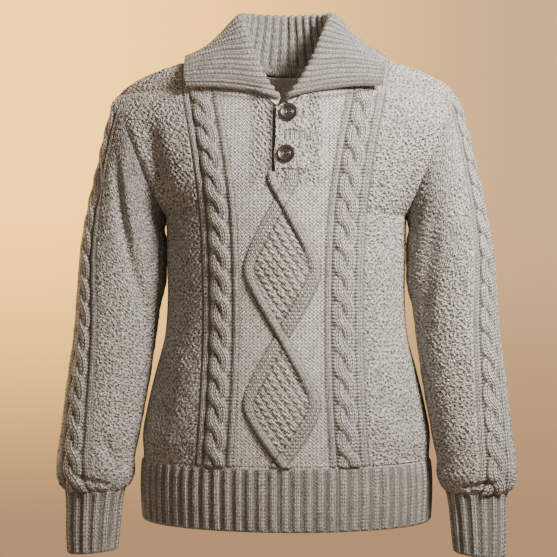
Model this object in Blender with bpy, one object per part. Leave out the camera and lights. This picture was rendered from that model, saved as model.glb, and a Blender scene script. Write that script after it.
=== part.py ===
"""A cable knit pullover with a ribbed fold-over collar, held in the form that it takes when worn.

The wearer faces -Y, with the wearer's left at +X. The origin is between the two points where the
shoulder seams meet the neckline. Lengths in the tables and functions are millimetres; make_piece turns
them into Blender's metres. Each panel is a wall with a plain inside, and its cables and ribs are raised
on the outside. Where two pieces are sewn together they are 0.3 mm apart.
"""

import math

import bpy
import numpy as np

METRES = 0.001
WALL = 3.0
HALF_GAP = 0.15
ARMHOLE_GAP = 0.55

# Sections of the body: height, half width, half depth in front, half depth behind.
BODY = np.array([
    [-622, 189.5, 122, 122],
    [-600, 191.0, 124, 124],
    [-555, 191.0, 125, 125],
    [-540, 189.5, 125, 125],
    [-510, 190.5, 126, 126],
    [-472, 184.0, 125, 124],
    [-426, 173.0, 121, 117],
    [-382, 161.5, 117, 108],
    [-332, 157.5, 116, 103],
    [-275, 158.5, 116, 106],
    [-222, 160.0, 114, 111],
    [-150, 170.0, 104, 109],
    [-80, 200.0, 88, 98],
    [-30, 225.0, 79, 86],
    [0, 225.0, 76, 80],
])
HEM_SEAM = -540
SHOULDER_CURVE = 82  # how far below the shoulder seam the body reaches its full depth

# The shoulder seam: distance from the middle, height.
SHOULDER = np.array([[0, -1], [75, -3], [130, -15], [175, -29], [203, -42], [217, -52], [225, -60]])
NECK_HALF_WIDTH = 75
# The neckline: distance from the middle, height in front, height behind.
NECKLINE = np.array([[0, -84, -28], [12, -83, -28], [27, -64, -26.5], [43, -43.6, -21.5], [59, -23.3, -13], [75, -3, -3]])

# The armhole is an ellipse in a slanted plane, from the tip of the shoulder to the underarm.
ARMHOLE_MIDDLE = (192.5, -141.0)
ARMHOLE_HALF = (32.5, 81.0)
ARMHOLE_HALF_DEPTH = 58.0
SHOULDER_OPENING = math.radians(62)
MIDDLE_OPENING = math.radians(56.5)

# Rings of the left sleeve and its cuff: number, outer x and z, inner x and z, half depth, y of the middle.
SLEEVE = np.array([
    [0, 225, -60, 160, -222, 58, 0],
    [1, 238, -106, 163.5, -240, 60, 0],
    [2, 250, -155, 163.5, -260, 60, -1],
    [3, 262, -207, 163, -286, 58, -3],
    [4, 272, -262, 164, -316, 56, -6],
    [5, 276, -315, 169, -350, 53, -10],
    [6, 279, -365, 174, -390, 51, -15],
    [7, 285, -418, 180, -434, 49, -20],
    [8, 291, -465, 187, -475, 48, -24],
    [9, 295, -507, 194, -513, 47, -28],
    [10, 299, -536, 199, -540, 46, -30],
    [11, 300, -557, 199, -560, 43, -32],
    [12, 296, -573, 204, -573, 37, -33],
    [13, 288, -581, 211, -580, 31, -34],
    [14, 286, -600, 215, -597, 29, -34],
    [15, 286, -630, 218, -627, 28, -35],
    [16, 284, -664, 221, -658, 27, -36],
])
CUFF_RING = 13
LAST_RING = 16
# Where the middle of the sleeve's cable is, as an angle from the outer edge towards the front.
SLEEVE_CABLE = np.array([[0, 26], [3, 32], [6, 46], [9, 58], [12, 64], [16, 66]])

# The two cables of a panel: height, distance from the middle.
CABLE_LINE = np.array([[-545, 85.5], [-465, 80.5], [-332, 77.6], [-200, 84], [-130, 94], [-65, 106], [0, 113]])
CABLE_PITCH = 32.3
CABLE_SWING = 6.6
STRAND_HALF_WIDTH = 7.6
STRAND_HEIGHT = 4.0
STRAND_LIFT = 1.4
BORDER_AT = 20.0
BORDER_HALF_WIDTH = 3.6
BORDER_HEIGHT = 1.8
GROUP_HALF_WIDTH = 24.5  # a cable with the rib and the gutter on each side of it
RELIEF_TOP = -56  # the relief dies away just under the shoulder seam
RELIEF_FADE = 14

DIAMOND_TOP = -213
DIAMOND_PITCH = 162.5
DIAMOND_HALF_WIDTH = 41.5
DIAMOND_SHARPNESS = 0.93
DIAMOND_END = -166
DIAMOND_STRAND_HALF_WIDTH = 6.5
DIAMOND_STRAND_HEIGHT = 3.4
STRANDS_TOUCH = 7.0
STRANDS_START = 10.0

# Folds of a panel, in front then behind: x and z of each end, depth, half width.
FRONT_FOLDS = np.array([
    [-187, -96, -150, -262, 9, 13],
    [186, -100, 148, -290, 8, 14],
    [-146, -420, -164, -500, 4, 16],
])
BACK_FOLDS = np.array([
    [-184, -100, -140, -240, 8, 14],
    [182, -95, 144, -255, 8, 14],
    [-60, -395, 70, -410, 2, 18],
])
# Folds of a sleeve: ring and angle in degrees of each end, depth, half width.
LEFT_SLEEVE_FOLDS = np.array([
    [2.2, 120, 5.2, 150, 5, 12],
    [3.0, -60, 5.5, -110, 6, 13],
    [7.2, 20, 8.6, 75, 3, 10],
    [9.6, -40, 10.6, -100, 4, 10],
])
RIGHT_SLEEVE_FOLDS = np.array([
    [1.0, 62, 5.2, 140, 7, 12],
    [1.6, 28, 2.8, 44, 4, 9],
    [3.0, -60, 5.5, -110, 6, 13],
    [8.8, 100, 10.2, 130, 4, 10],
])

RING_STEP = 40  # about how far apart the rings are
SLEEVE_FOLD_SCALE = np.array([RING_STEP, 1, RING_STEP, 1, 1, 1])

HEM_RIBS = 68
CUFF_RIBS = 15
RIB_HEIGHT = 2.2
# One rib as its columns: place across the rib, share of the height.
RIB_COLUMNS = ((0.05, 1.0), (0.47, 1.0), (0.76, 0.0))

# Stations of the collar's left half, from the front to the back: number, fold x y z, edge x y z,
# place on the neckline as an angle from the front.
COLLAR = np.array([
    [0, 4, -86, -74, 116, -77, -60, 6],
    [1, 20, -79, -53, 126, -70, -48, 28],
    [2, 37, -58, -20, 131, -44, -27, 50],
    [3, 51, -29, 18, 131, -4, -14, 70],
    [4, 61, 4, 45, 121, 44, -22, 92],
    [5, 48, 40, 52, 78, 80, -37, 128],
    [6, 0, 58, 53, 0, 92, -46, 180],
])
COLLAR_RIBS = 56
COLLAR_RIB_HEIGHT = 1.5
COLLAR_FOLD_HALF = 4.0
COLLAR_FOLD_DROP = 6.0
COLLAR_CLEAR = 4.6
COLLAR_GAP = (1.1, 2.1)  # in front, behind

PLACKET_LEFT = -13.0
PLACKET_RIGHT = 31.0
PLACKET_BOTTOM = -170.0
BAND_SET_BACK = 3.5  # the upper band's left edge, from the opening's edge
BAND_NECK_GAP = 0.8
BAND_COLUMNS, BAND_ROWS = 8, 5
BAND_RAISE = 2.2
BAND_GAP = 0.5
BAND_END_GAP = 0.8

# Turned profile of a button: distance from its axis, height over its back.
BUTTON_PROFILE = ((0, 0), (7.5, 0), (10.6, 1.1), (11.25, 2.4), (10.7, 3.6), (9.6, 3.9), (8.4, 3.3), (7.2, 3.3),
                  (6.4, 2.5), (0, 2.3))
BUTTON_STEPS = 20
BUTTON_TOP_AT = (8.0, -93.5)
BUTTON_BOTTOM_AT = (5.2, -147.0)
BUTTON_CLEAR = 0.4

# Where the columns of points stand: across a cable from its middle, beside a strand from its middle,
# over the ground between strand and cable, over the side panel, and round a sleeve outside its cable.
CABLE_COLUMNS = (-14.8, -7.4, 0.0, 7.4, 14.8)
STRAND_COLUMNS = (-6.4, -3.4, 3.4, 6.5)
GROUND_SHARES = (0.4, 0.81, 1)
PLAIN_PLACES = (0.143, 0.323, 0.532, 0.852)
SIDE_SHARES = (0.2,)
EDGE_SHARES = (0.4, 0.6, 0.78, 0.91, 1.0)
SLEEVE_SHARES = np.linspace(0, 1, 12)[1:-1]
SLEEVE_GROUP_HALF = 24.0
SLEEVE_ROUND = 377.0  # a sleeve's girth, near enough to order the columns round its rims
# Rows of points: on the strands, and the length under the shoulder seam where rows close up.
STRAND_ROW = 12.0
SHOULDER_ROWS = 70

BOX_CORNERS = ((0, 0, 0), (1, 0, 0), (1, 1, 0), (0, 1, 0), (0, 0, 1), (1, 0, 1), (1, 1, 1), (0, 1, 1))
BOX_FACES = ((0, 3, 2, 1), (4, 5, 6, 7), (0, 1, 5, 4), (1, 2, 6, 5), (2, 3, 7, 6), (3, 0, 4, 7))

WOOL_COLOUR = (0.47, 0.44, 0.40, 1.0)
BUTTON_COLOUR = (0.045, 0.024, 0.016, 1.0)


def through(rows, column, at):
    """A smooth curve through the rows: cubic pieces whose slopes come from the rows on each side."""
    at = np.asarray(at, float)
    keys, values = rows[:, 0].astype(float), rows[:, column].astype(float)
    slopes = np.gradient(values, keys)
    i = np.clip(np.searchsorted(keys, at, side="right") - 1, 0, len(keys) - 2)
    step = keys[i + 1] - keys[i]
    f = np.clip((at - keys[i]) / step, 0, 1)
    rise = f * f * (3 - 2 * f)
    leave = f * (1 - f) ** 2 * slopes[i]
    arrive = f * f * (1 - f) * slopes[i + 1]
    return values[i] * (1 - rise) + values[i + 1] * rise + step * (leave - arrive)


def eased(value):
    """0 up to 0, 1 from 1, and a smooth rise between."""
    value = np.clip(value, 0, 1)
    return value * value * (3 - 2 * value)


def panel_edge(z):
    """Half width at this height, how far in front of the seam the edge is, and the section's angle there."""
    turn = np.arccos(np.clip((z - ARMHOLE_MIDDLE[1]) / ARMHOLE_HALF[1], -1, 1))
    in_armhole = z > SLEEVE[0, 4]
    half = np.where(in_armhole, ARMHOLE_MIDDLE[0] + ARMHOLE_HALF[0] * np.cos(turn), through(BODY, 1, z))
    forward = np.where(in_armhole, ARMHOLE_HALF_DEPTH * np.sin(turn), 0)
    lower = np.arccos(np.clip(2 * forward / (through(BODY, 2, z) + through(BODY, 3, z)), 0, 1))
    share = eased((z - ARMHOLE_MIDDLE[1]) / ARMHOLE_HALF[1])
    upper = MIDDLE_OPENING + (SHOULDER_OPENING - MIDDLE_OPENING) * share
    return half, forward, np.where(z < ARMHOLE_MIDDLE[1], lower, upper)


def section_angle(x, z):
    half, _, angle = panel_edge(z)
    return np.arcsin(np.clip(x * np.sin(angle) / half, -1, 1)) / angle


def panel_at(side, turn, z):
    """A panel's plain face. Side is -1 in front and 1 behind, and turn runs from -1 to 1 across it."""
    half, forward, angle = panel_edge(z)
    x = half * np.sin(turn * angle) / np.sin(angle)
    below = np.clip((through(SHOULDER, 1, np.abs(x)) - z) / SHOULDER_CURVE, 0, 1)
    depth = through(BODY, 2 if side < 0 else 3, z) * np.sqrt(1 - (1 - below) ** 2)
    fullness = (np.cos(turn * angle) - np.cos(angle)) / (1 - np.cos(angle))
    y = side * (forward + (depth - forward) * fullness)
    return np.stack([x, y, z + 0 * x], axis=-1)


def unit(vectors):
    return vectors / np.maximum(np.linalg.norm(vectors, axis=-1, keepdims=True), 1e-9)


def panel_normal(side, turn, z):
    across = panel_at(side, turn + 0.004, z) - panel_at(side, turn - 0.004, z)
    up = panel_at(side, turn, z + 0.4) - panel_at(side, turn, z - 0.4)
    return unit(np.cross(up, across) * side)


def folds_at(folds, a, b):
    """How far the folds draw the wall in: a soft trough along each line, dying away at its ends."""
    total = np.zeros(np.broadcast(a, b).shape)
    for a0, b0, a1, b1, depth, width in folds:
        run = np.array([a1 - a0, b1 - b0])
        along = ((a - a0) * run[0] + (b - b0) * run[1]) / (run @ run)
        off = ((a - a0) * run[1] - (b - b0) * run[0]) / np.linalg.norm(run)
        ends = eased((along + 0.12) / 0.45) * eased((1.12 - along) / 0.45)
        total += depth * ends * np.exp(-((off / width) ** 2))
    return total


def rope(across, along):
    """A two-strand cable: each strand swings from side to side and passes over the other in turn."""
    phase = math.pi * along / CABLE_PITCH
    best = np.zeros(np.broadcast(across, along).shape)
    for start in (0, math.pi):
        off = (across + CABLE_SWING * np.cos(phase + start)) / STRAND_HALF_WIDTH
        strand = STRAND_HEIGHT * np.sqrt(np.clip(1 - off**2, 0, 1)) + STRAND_LIFT * np.sin(phase + start)
        best = np.maximum(best, np.where(np.abs(off) < 1, strand, 0))
    return best


def border_ribs(across):
    off = (np.abs(across) - BORDER_AT) / BORDER_HALF_WIDTH
    return BORDER_HEIGHT * np.sqrt(np.clip(1 - off**2, 0, 1))


def strand_place(z):
    """How far from the middle each strand of the diamonds is: a rounded zigzag that stops where they touch."""
    phase = math.pi * (DIAMOND_TOP - z) / DIAMOND_PITCH
    swing = np.abs(np.arcsin(DIAMOND_SHARPNESS * np.sin(phase))) / math.asin(DIAMOND_SHARPNESS)
    start = np.where(z > DIAMOND_TOP, STRANDS_START, DIAMOND_HALF_WIDTH)
    return np.maximum(np.minimum(DIAMOND_HALF_WIDTH * swing, start), STRANDS_TOUCH)


def diamonds(x, z):
    """The two strands, raised with a round profile."""
    off = (np.abs(x) - strand_place(z)) / DIAMOND_STRAND_HALF_WIDTH
    ridge = DIAMOND_STRAND_HEIGHT * np.sqrt(np.clip(1 - off**2, 0, 1))
    return ridge * eased((DIAMOND_END - z) / 8)


def cable_lengths(side):
    """Heights up a cable's line, and the length along the cloth from the hem to each."""
    z = np.linspace(HEM_SEAM, -12, 400)
    line = panel_at(side, section_angle(through(CABLE_LINE, 1, z), z), z)
    steps = np.linalg.norm(np.diff(line, axis=0), axis=1)
    return z, np.concatenate([[0], np.cumsum(steps)])


def panel_relief(side, x, z):
    """What is raised on a panel: two cables with ribs beside them, and the diamonds between."""
    heights, lengths = cable_lengths(side)
    along = -np.interp(z, heights, lengths)
    total = diamonds(x, z)
    for way in (-1, 1):
        across = x - way * through(CABLE_LINE, 1, z)
        total = total + rope(-side * across, along) + border_ribs(across)
    return total * eased((RELIEF_TOP - z) / RELIEF_FADE)


def top_of(side, x):
    neck = through(NECKLINE, 1 if side < 0 else 2, np.abs(x))
    return np.where(np.abs(x) < NECK_HALF_WIDTH, neck, through(SHOULDER, 1, np.abs(x)))


def column_top(side, x_at):
    """The height at which a column of the panel meets the neckline or the shoulder seam."""
    top = np.float64(-60)
    for _ in range(30):
        top = 0.5 * top + 0.5 * top_of(side, x_at(top))
    return float(top)


def bridge(left, right, left_at, right_at, faces, flipped=False):
    """Triangles between two runs of points, stepping along whichever run is behind."""
    i = j = 0
    while i < len(left) - 1 or j < len(right) - 1:
        on_left = j == len(right) - 1
        if not on_left and i < len(left) - 1:
            on_left = left_at[i] + left_at[i + 1] <= right_at[j] + right_at[j + 1]
        if on_left:
            face = (left[i], right[j], left[i + 1])
            i += 1
        else:
            face = (left[i], right[j], right[j + 1])
            j += 1
        faces.append(face[::-1] if flipped else face)


class Shell:
    """A wall between outer and inner columns of points, which may differ in number."""

    def __init__(self):
        self.points = []
        self.faces = []

    def run(self, points):
        first = len(self.points)
        self.points.extend(points)
        return list(range(first, first + len(points)))

    def layer(self, columns, closed, flipped):
        """Adds each column's points and the strips between them.

        A column is its points, their places along it, and its own place across at its first and last end.
        """
        runs = [(self.run(points), list(at), place) for points, at, place in columns]
        pairs = list(zip(runs, runs[1:]))
        if closed:
            pairs.append((runs[-1], runs[0]))
        for (left, left_at, _), (right, right_at, _) in pairs:
            bridge(left, right, left_at, right_at, self.faces, flipped)
        return runs

    def rim(self, outer, inner, end, closed):
        out, out_at = [r[0][end] for r in outer], [r[2][end] for r in outer]
        inn, inn_at = [r[0][end] for r in inner], [r[2][end] for r in inner]
        if closed:
            out, inn = out + out[:1], inn + inn[:1]
            out_at, inn_at = out_at + [out_at[0] + 1], inn_at + [inn_at[0] + 1]
        if end:
            bridge(inn, out, inn_at, out_at, self.faces)
        else:
            bridge(out, inn, out_at, inn_at, self.faces)

    def close(self, outer_columns, inner_columns, closed=False):
        outer = self.layer(outer_columns, closed, False)
        inner = self.layer(inner_columns, closed, True)
        self.rim(outer, inner, 0, closed)
        self.rim(outer, inner, -1, closed)
        if not closed:
            bridge(inner[0][0], outer[0][0], inner[0][1], outer[0][1], self.faces)
            bridge(outer[-1][0], inner[-1][0], outer[-1][1], inner[-1][1], self.faces)
        return self


def wool():
    return plain_material("wool", WOOL_COLOUR, 0.95)


def horn():
    return plain_material("brown_button", BUTTON_COLOUR, 0.35)


def plain_material(name, colour, roughness):
    material = bpy.data.materials.new(name)
    material.use_nodes = True
    shader = material.node_tree.nodes["Principled BSDF"]
    shader.inputs["Base Color"].default_value = colour
    shader.inputs["Roughness"].default_value = roughness
    shader.inputs["Metallic"].default_value = 0.0
    material.diffuse_color = colour
    return material


def make_piece(name, points, faces, material, collection):
    """One mesh object, with its faces turned outwards."""
    points = np.array(points, float) * METRES
    faces = np.array(faces)
    a, b, c = (points[faces[:, k]] for k in range(3))
    if np.einsum("ij,ij->i", a, np.cross(b, c)).sum() < 0:
        faces = faces[:, ::-1]
    mesh = bpy.data.meshes.new(name)
    mesh.from_pydata(points.tolist(), [], faces.tolist())
    mesh.polygons.foreach_set("use_smooth", [True] * len(mesh.polygons))
    mesh.materials.append(material)
    piece = bpy.data.objects.new(name, mesh)
    collection.objects.link(piece)
    return piece


def armhole_inner(side, hand, z):
    """The armhole's inner edge: the same ellipse, one wall smaller."""
    turn = np.arccos(np.clip((z - ARMHOLE_MIDDLE[1]) / ARMHOLE_HALF[1], -1, 1))
    shrink = 1 - WALL / math.hypot(*ARMHOLE_HALF)
    x = ARMHOLE_MIDDLE[0] + ARMHOLE_HALF[0] * shrink * np.cos(turn)
    y = side * (ARMHOLE_HALF_DEPTH - WALL) * np.sin(turn)
    return np.stack([hand * x, y, ARMHOLE_MIDDLE[1] + ARMHOLE_HALF[1] * shrink * np.cos(turn)], axis=-1)


def panel_column(side, x_at, z, raised):
    """Points up a column of a panel, on its outer face or one wall inside it."""
    x = x_at(z)
    turn = section_angle(x, z)
    face = panel_at(side, turn, z)
    normal = panel_normal(side, turn, z)
    half, _, _ = panel_edge(z)
    from_edge = half - np.abs(x)
    lift = -folds_at(FRONT_FOLDS if side < 0 else BACK_FOLDS, x, z) * eased((from_edge - 3) / 26)
    if raised:
        lift = lift + panel_relief(side, x, z) * eased(from_edge / 14)
    else:
        lift = lift - WALL
    points = face + normal * lift[:, None]
    on_rim = (np.abs(x) > half - 0.01) & (z > SLEEVE[0, 4] - 1e-6)
    if not raised and on_rim.any():
        points[on_rim] = armhole_inner(side, np.sign(x[0]), z)[on_rim]
    points[:, 1] = side * np.maximum(side * points[:, 1], 0) + side * HALF_GAP
    return points


def panel_layout(raised):
    """The columns across a panel: what gives x at a height, and the rows' spacing."""
    def group_edge(z):
        return through(CABLE_LINE, 1, z) - GROUP_HALF_WIDTH

    def beside_cable(off):
        return lambda z: through(CABLE_LINE, 1, z) + off

    def beside_strand(off):
        return lambda z: strand_place(z) + off

    def between(share):
        start = STRAND_COLUMNS[-1]
        return lambda z: (strand_place(z) + start) * (1 - share) + group_edge(z) * share

    def in_middle(place):
        return lambda z: place * group_edge(z)

    def towards_edge(share):
        def x_at(z):
            half, _, angle = panel_edge(z)
            start = section_angle(through(CABLE_LINE, 1, z) + GROUP_HALF_WIDTH, z)
            return half * np.sin((start + (1 - start) * share) * angle) / np.sin(angle)
        return x_at

    if raised:
        half = [(beside_strand(off), "strand") for off in STRAND_COLUMNS]
        half += [(between(share), "strand") for share in GROUND_SHARES]
        half.append((beside_cable(-BORDER_AT), "plain"))
        half += [(beside_cable(off), "cable") for off in CABLE_COLUMNS]
        half += [(beside_cable(off), "plain") for off in (BORDER_AT, GROUP_HALF_WIDTH)]
    else:
        half = [(in_middle(p), "plain") for p in PLAIN_PLACES]
        half += [(beside_cable(off), "plain") for off in (-GROUP_HALF_WIDTH, 0, GROUP_HALF_WIDTH)]
    half += [(towards_edge(share), "plain") for share in SIDE_SHARES]
    half += [(towards_edge(share), "edge") for share in EDGE_SHARES]
    left = [((lambda z, f=f: -f(z)), kind) for f, kind in reversed(half)]
    middle = [((lambda z: 0 * z), "plain")]
    return left + middle + half


def rows_of(kind, top, heights, lengths):
    """Heights up a column: by the cable's length, closer on the strands, or spread to suit the shoulder."""
    if kind == "edge":
        return edge_rows(top)
    if kind == "cable":
        steps = np.arange(0, np.interp(top, heights, lengths) - 3, CABLE_PITCH / 4)
        return np.append(np.interp(steps, lengths, heights), top)
    ease = top - SHOULDER_ROWS * (1 - np.sin(np.linspace(0, math.pi / 2, 5)))
    if kind == "strand":
        low = np.arange(HEM_SEAM, DIAMOND_END + 1, STRAND_ROW)
        return np.append(low, ease[ease > low[-1] + 5])
    return np.append(np.linspace(HEM_SEAM, top - SHOULDER_ROWS, 10)[:-1], ease)


def edge_rows(top):
    """Even rows up to the underarm, then rows that follow the armhole's curve."""
    lower = np.append(np.linspace(HEM_SEAM, SLEEVE[0, 4], 8)[:-1], SLEEVE[0, 4] - 2)
    rows = np.append(lower, ARMHOLE_MIDDLE[1] + ARMHOLE_HALF[1] * np.cos(np.linspace(math.pi, 0, 11)))
    return rows if top < rows[-1] + 1 else np.append(rows, [rows[-1] * 0.3 + top * 0.7, top])


def panel_columns(side, raised):
    heights, lengths = cable_lengths(side)
    columns = []
    for x_at, kind in panel_layout(raised):
        z = rows_of(kind, column_top(side, x_at), heights, lengths)
        x = x_at(z)
        columns.append((panel_column(side, x_at, z, raised), z, (x[0], x[-1])))
    return columns


def make_panel(side, name, collection):
    shell = Shell().close(panel_columns(side, True), panel_columns(side, False))
    return make_piece(name, shell.points, shell.faces, wool(), collection)


def cut_placket_opening(front, cutters):
    """The opening in the front that the two placket bands fill."""
    middle = ((PLACKET_LEFT + PLACKET_RIGHT) / 2, -115, PLACKET_BOTTOM / 2)
    size = (PLACKET_RIGHT - PLACKET_LEFT, 170, -PLACKET_BOTTOM)
    mesh = bpy.data.meshes.new("placket_cutter")
    corners = [[middle[k] + size[k] * (corner[k] - 0.5) for k in range(3)] for corner in BOX_CORNERS]
    mesh.from_pydata((np.array(corners) * METRES).tolist(), [], BOX_FACES)
    cutter = bpy.data.objects.new("placket_cutter", mesh)
    cutter.hide_render = True
    cutter.display_type = "WIRE"
    cutters.objects.link(cutter)
    modifier = front.modifiers.new("placket_opening", "BOOLEAN")
    modifier.operation = "DIFFERENCE"
    modifier.solver = "EXACT"
    modifier.object = cutter


def sleeve_at(ring, angle):
    """A point on the left sleeve: an ellipse between the ring's outer and inner points."""
    ring = np.asarray(ring, float)
    outer = np.stack([through(SLEEVE, 1, ring), through(SLEEVE, 2, ring)], axis=-1)
    inner = np.stack([through(SLEEVE, 3, ring), through(SLEEVE, 4, ring)], axis=-1)
    middle, half = (outer + inner) / 2, (outer - inner) / 2
    flat = middle + half * np.cos(angle)[..., None]
    y = through(SLEEVE, 6, ring) - through(SLEEVE, 5, ring) * np.sin(angle)
    return np.stack([flat[..., 0], y, flat[..., 1]], axis=-1)


def sleeve_normal(ring, angle):
    along = sleeve_at(ring + 0.02, angle) - sleeve_at(ring - 0.02, angle)
    around = sleeve_at(ring, angle + 0.01) - sleeve_at(ring, angle - 0.01)
    return unit(np.cross(around, along))


def sleeve_radius(ring):
    outer = np.stack([through(SLEEVE, 1, ring), through(SLEEVE, 2, ring)], axis=-1)
    inner = np.stack([through(SLEEVE, 3, ring), through(SLEEVE, 4, ring)], axis=-1)
    return (np.linalg.norm(outer - inner, axis=-1) / 2 + through(SLEEVE, 5, ring)) / 2


def cable_angle(ring, across):
    return np.radians(through(SLEEVE_CABLE, 1, ring)) + across / sleeve_radius(ring)


def sleeve_lengths():
    ring = np.linspace(0, CUFF_RING, 500)
    steps = np.linalg.norm(np.diff(sleeve_at(ring, cable_angle(ring, 0.0)), axis=0), axis=1)
    return ring, np.concatenate([[0], np.cumsum(steps)])


def armhole_ring(angle):
    """The inner edge of the sleeve's first ring, in the armhole's plane."""
    shrink = 1 - WALL / math.hypot(*ARMHOLE_HALF)
    x = ARMHOLE_MIDDLE[0] + ARMHOLE_HALF[0] * shrink * np.cos(angle)
    y = -(ARMHOLE_HALF_DEPTH - WALL) * np.sin(angle)
    z = ARMHOLE_MIDDLE[1] + ARMHOLE_HALF[1] * shrink * np.cos(angle)
    return np.stack([x, y, z], axis=-1)


def sleeve_column(hand, across_or_share, ring, raised):
    """Points down a column of a sleeve. Columns on the cable keep their distance from its middle."""
    kind, value = across_or_share
    if kind == "cable":
        angle = cable_angle(ring, value)
    else:
        start = cable_angle(ring, SLEEVE_GROUP_HALF)
        end = cable_angle(ring, -SLEEVE_GROUP_HALF) + 2 * math.pi
        angle = start + (end - start) * value
    wrapped = np.degrees((angle + math.pi) % (2 * math.pi) - math.pi)
    ends = eased(ring / 0.5) * eased((CUFF_RING - ring) / 0.5)
    folds = LEFT_SLEEVE_FOLDS if hand > 0 else RIGHT_SLEEVE_FOLDS
    lift = -folds_at(folds * SLEEVE_FOLD_SCALE, ring * RING_STEP, wrapped) * ends
    if raised and kind == "cable":
        rings, lengths = sleeve_lengths()
        along = np.interp(ring, rings, lengths)
        lift = lift + (rope(-hand * value + 0 * ring, along) + border_ribs(value + 0 * ring)) * eased(ring / 0.15)
    if not raised:
        lift = lift - WALL
    out = np.where((ring > CUFF_RING - 1e-6)[:, None], cuff_out(ring, angle), sleeve_normal(ring, angle))
    points = sleeve_at(ring, angle) + out * lift[:, None]
    first = ring < 1e-6
    points[first] = (sleeve_at(ring, angle) if raised else armhole_ring(angle))[first]
    across = np.array([ARMHOLE_HALF[1], 0, -ARMHOLE_HALF[0]]) / math.hypot(*ARMHOLE_HALF)
    points = points + ARMHOLE_GAP * across
    points[:, 0] *= hand
    return points


def sleeve_columns(hand, raised):
    rings, lengths = sleeve_lengths()
    coarse = np.concatenate([np.arange(0, 9.6, 1), np.array([10, 10.6, 11.2, 11.8, 12.4, 13])])
    fine = np.append(np.interp(np.arange(0, lengths[-1] - 3, CABLE_PITCH / 4), lengths, rings), CUFF_RING)
    layout = []
    if raised:
        layout += [("cable", off, coarse) for off in (-SLEEVE_GROUP_HALF, -BORDER_AT)]
        layout += [("cable", off, fine) for off in CABLE_COLUMNS]
        layout += [("cable", off, coarse) for off in (BORDER_AT, SLEEVE_GROUP_HALF)]
    else:
        layout += [("cable", off, coarse) for off in (-SLEEVE_GROUP_HALF, 0.0, SLEEVE_GROUP_HALF)]
    layout += [("share", share, coarse) for share in SLEEVE_SHARES]
    columns = []
    for kind, value, ring in layout:
        rest = SLEEVE_ROUND - 2 * SLEEVE_GROUP_HALF
        place = (value if kind == "cable" else SLEEVE_GROUP_HALF + value * rest) / SLEEVE_ROUND
        columns.append((sleeve_column(hand, (kind, value), ring, raised), ring, (place, place)))
    return columns


def make_sleeve(hand, name, collection):
    shell = Shell().close(sleeve_columns(hand, True), sleeve_columns(hand, False), closed=True)
    make_piece(name, shell.points, shell.faces, wool(), collection)


def rib_columns(count):
    """Places round a ribbed tube and the share of the rib's height at each."""
    return [((rib + place) / count, height) for rib in range(count) for place, height in RIB_COLUMNS]


def even_turns(point_at, shares):
    """Angles at even lengths round a section."""
    angles = np.linspace(0, 2 * math.pi, 721)
    ring = point_at(angles)
    lengths = np.concatenate([[0], np.cumsum(np.linalg.norm(np.diff(ring, axis=0), axis=1))])
    return np.interp(np.asarray(shares) * lengths[-1], lengths, angles)


def body_ring(angle, z):
    """The whole section of the body below the armholes, as x, y, z and its outward direction."""
    half = through(BODY, 1, z)
    deep = np.where(np.cos(angle) > 0, through(BODY, 2, z), through(BODY, 3, z))
    point = np.stack([half * np.sin(angle), -deep * np.cos(angle), z + 0 * angle], axis=-1)
    out = unit(np.stack([deep * np.sin(angle), -half * np.cos(angle), 0 * angle], axis=-1))
    return point, out


def hem_columns(raised):
    rows = np.array([-622, -619, -543, HEM_SEAM - 2 * HALF_GAP])
    rise = np.array([0, 1, 1, 0])
    if raised:
        layout = rib_columns(HEM_RIBS)
    else:
        layout = [(share, 0) for share in np.arange(24) / 24]
        rows, rise = rows[[0, 2, 3]], rise[[0, 2, 3]]
    turns = even_turns(lambda angles: body_ring(angles, np.float64(-580))[0], [share for share, _ in layout])
    columns = []
    for (share, height), turn in zip(layout, turns):
        point, out = body_ring(turn + 0 * rows, rows)
        lift = height * RIB_HEIGHT * rise if raised else -WALL + 0 * rows
        columns.append((point + out * lift[:, None], rows, (share, share)))
    return columns


def make_hem(collection):
    shell = Shell().close(hem_columns(True), hem_columns(False), closed=True)
    make_piece("hem_rib", shell.points, shell.faces, wool(), collection)


def cuff_columns(hand, raised):
    rows = np.array([CUFF_RING, CUFF_RING + 0.3, 14, 15, 15.9, LAST_RING])
    rise = np.array([0.4, 0.9, 1, 1, 1, 0.35])
    if raised:
        layout = rib_columns(CUFF_RIBS)
    else:
        layout = [(share, 0) for share in np.arange(14) / 14]
        rows, rise = rows[[0, 2, 3, 5]], rise[[0, 2, 3, 5]]
    turns = even_turns(lambda angles: sleeve_at(14.5 + 0 * angles, angles), [share for share, _ in layout])
    columns = []
    for (share, height), turn in zip(layout, turns):
        lift = height * RIB_HEIGHT * rise if raised else -WALL + 0 * rows
        point = sleeve_at(rows, turn + 0 * rows) + cuff_out(rows, turn) * lift[:, None]
        point[:, 2] -= 2 * HALF_GAP + 0.3
        point[:, 0] *= hand
        columns.append((point, rows, (share, share)))
    return columns


def cuff_out(rows, turn):
    """Outwards across a ring, within its own plane."""
    around = sleeve_at(rows, turn + 0.01 + 0 * rows) - sleeve_at(rows, turn - 0.01 + 0 * rows)
    front = sleeve_at(rows, math.pi / 2 + 0 * rows) - sleeve_at(rows, -math.pi / 2 + 0 * rows)
    outer = sleeve_at(rows, 0 * rows) - sleeve_at(rows, math.pi + 0 * rows)
    return unit(np.cross(around, np.cross(outer, front)))


def make_cuff(hand, name, collection):
    shell = Shell().close(cuff_columns(hand, True), cuff_columns(hand, False), closed=True)
    make_piece(name, shell.points, shell.faces, wool(), collection)


def neck_point(angle):
    """A point of the neckline, at an angle from the front in degrees."""
    x = NECK_HALF_WIDTH * np.sin(np.radians(angle))
    side = -1 if angle < 90 else 1
    z = float(top_of(side, np.minimum(np.abs(x), NECK_HALF_WIDTH - 0.01)))
    return panel_at(side, section_angle(np.float64(x), np.float64(z)), np.float64(z))


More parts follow.
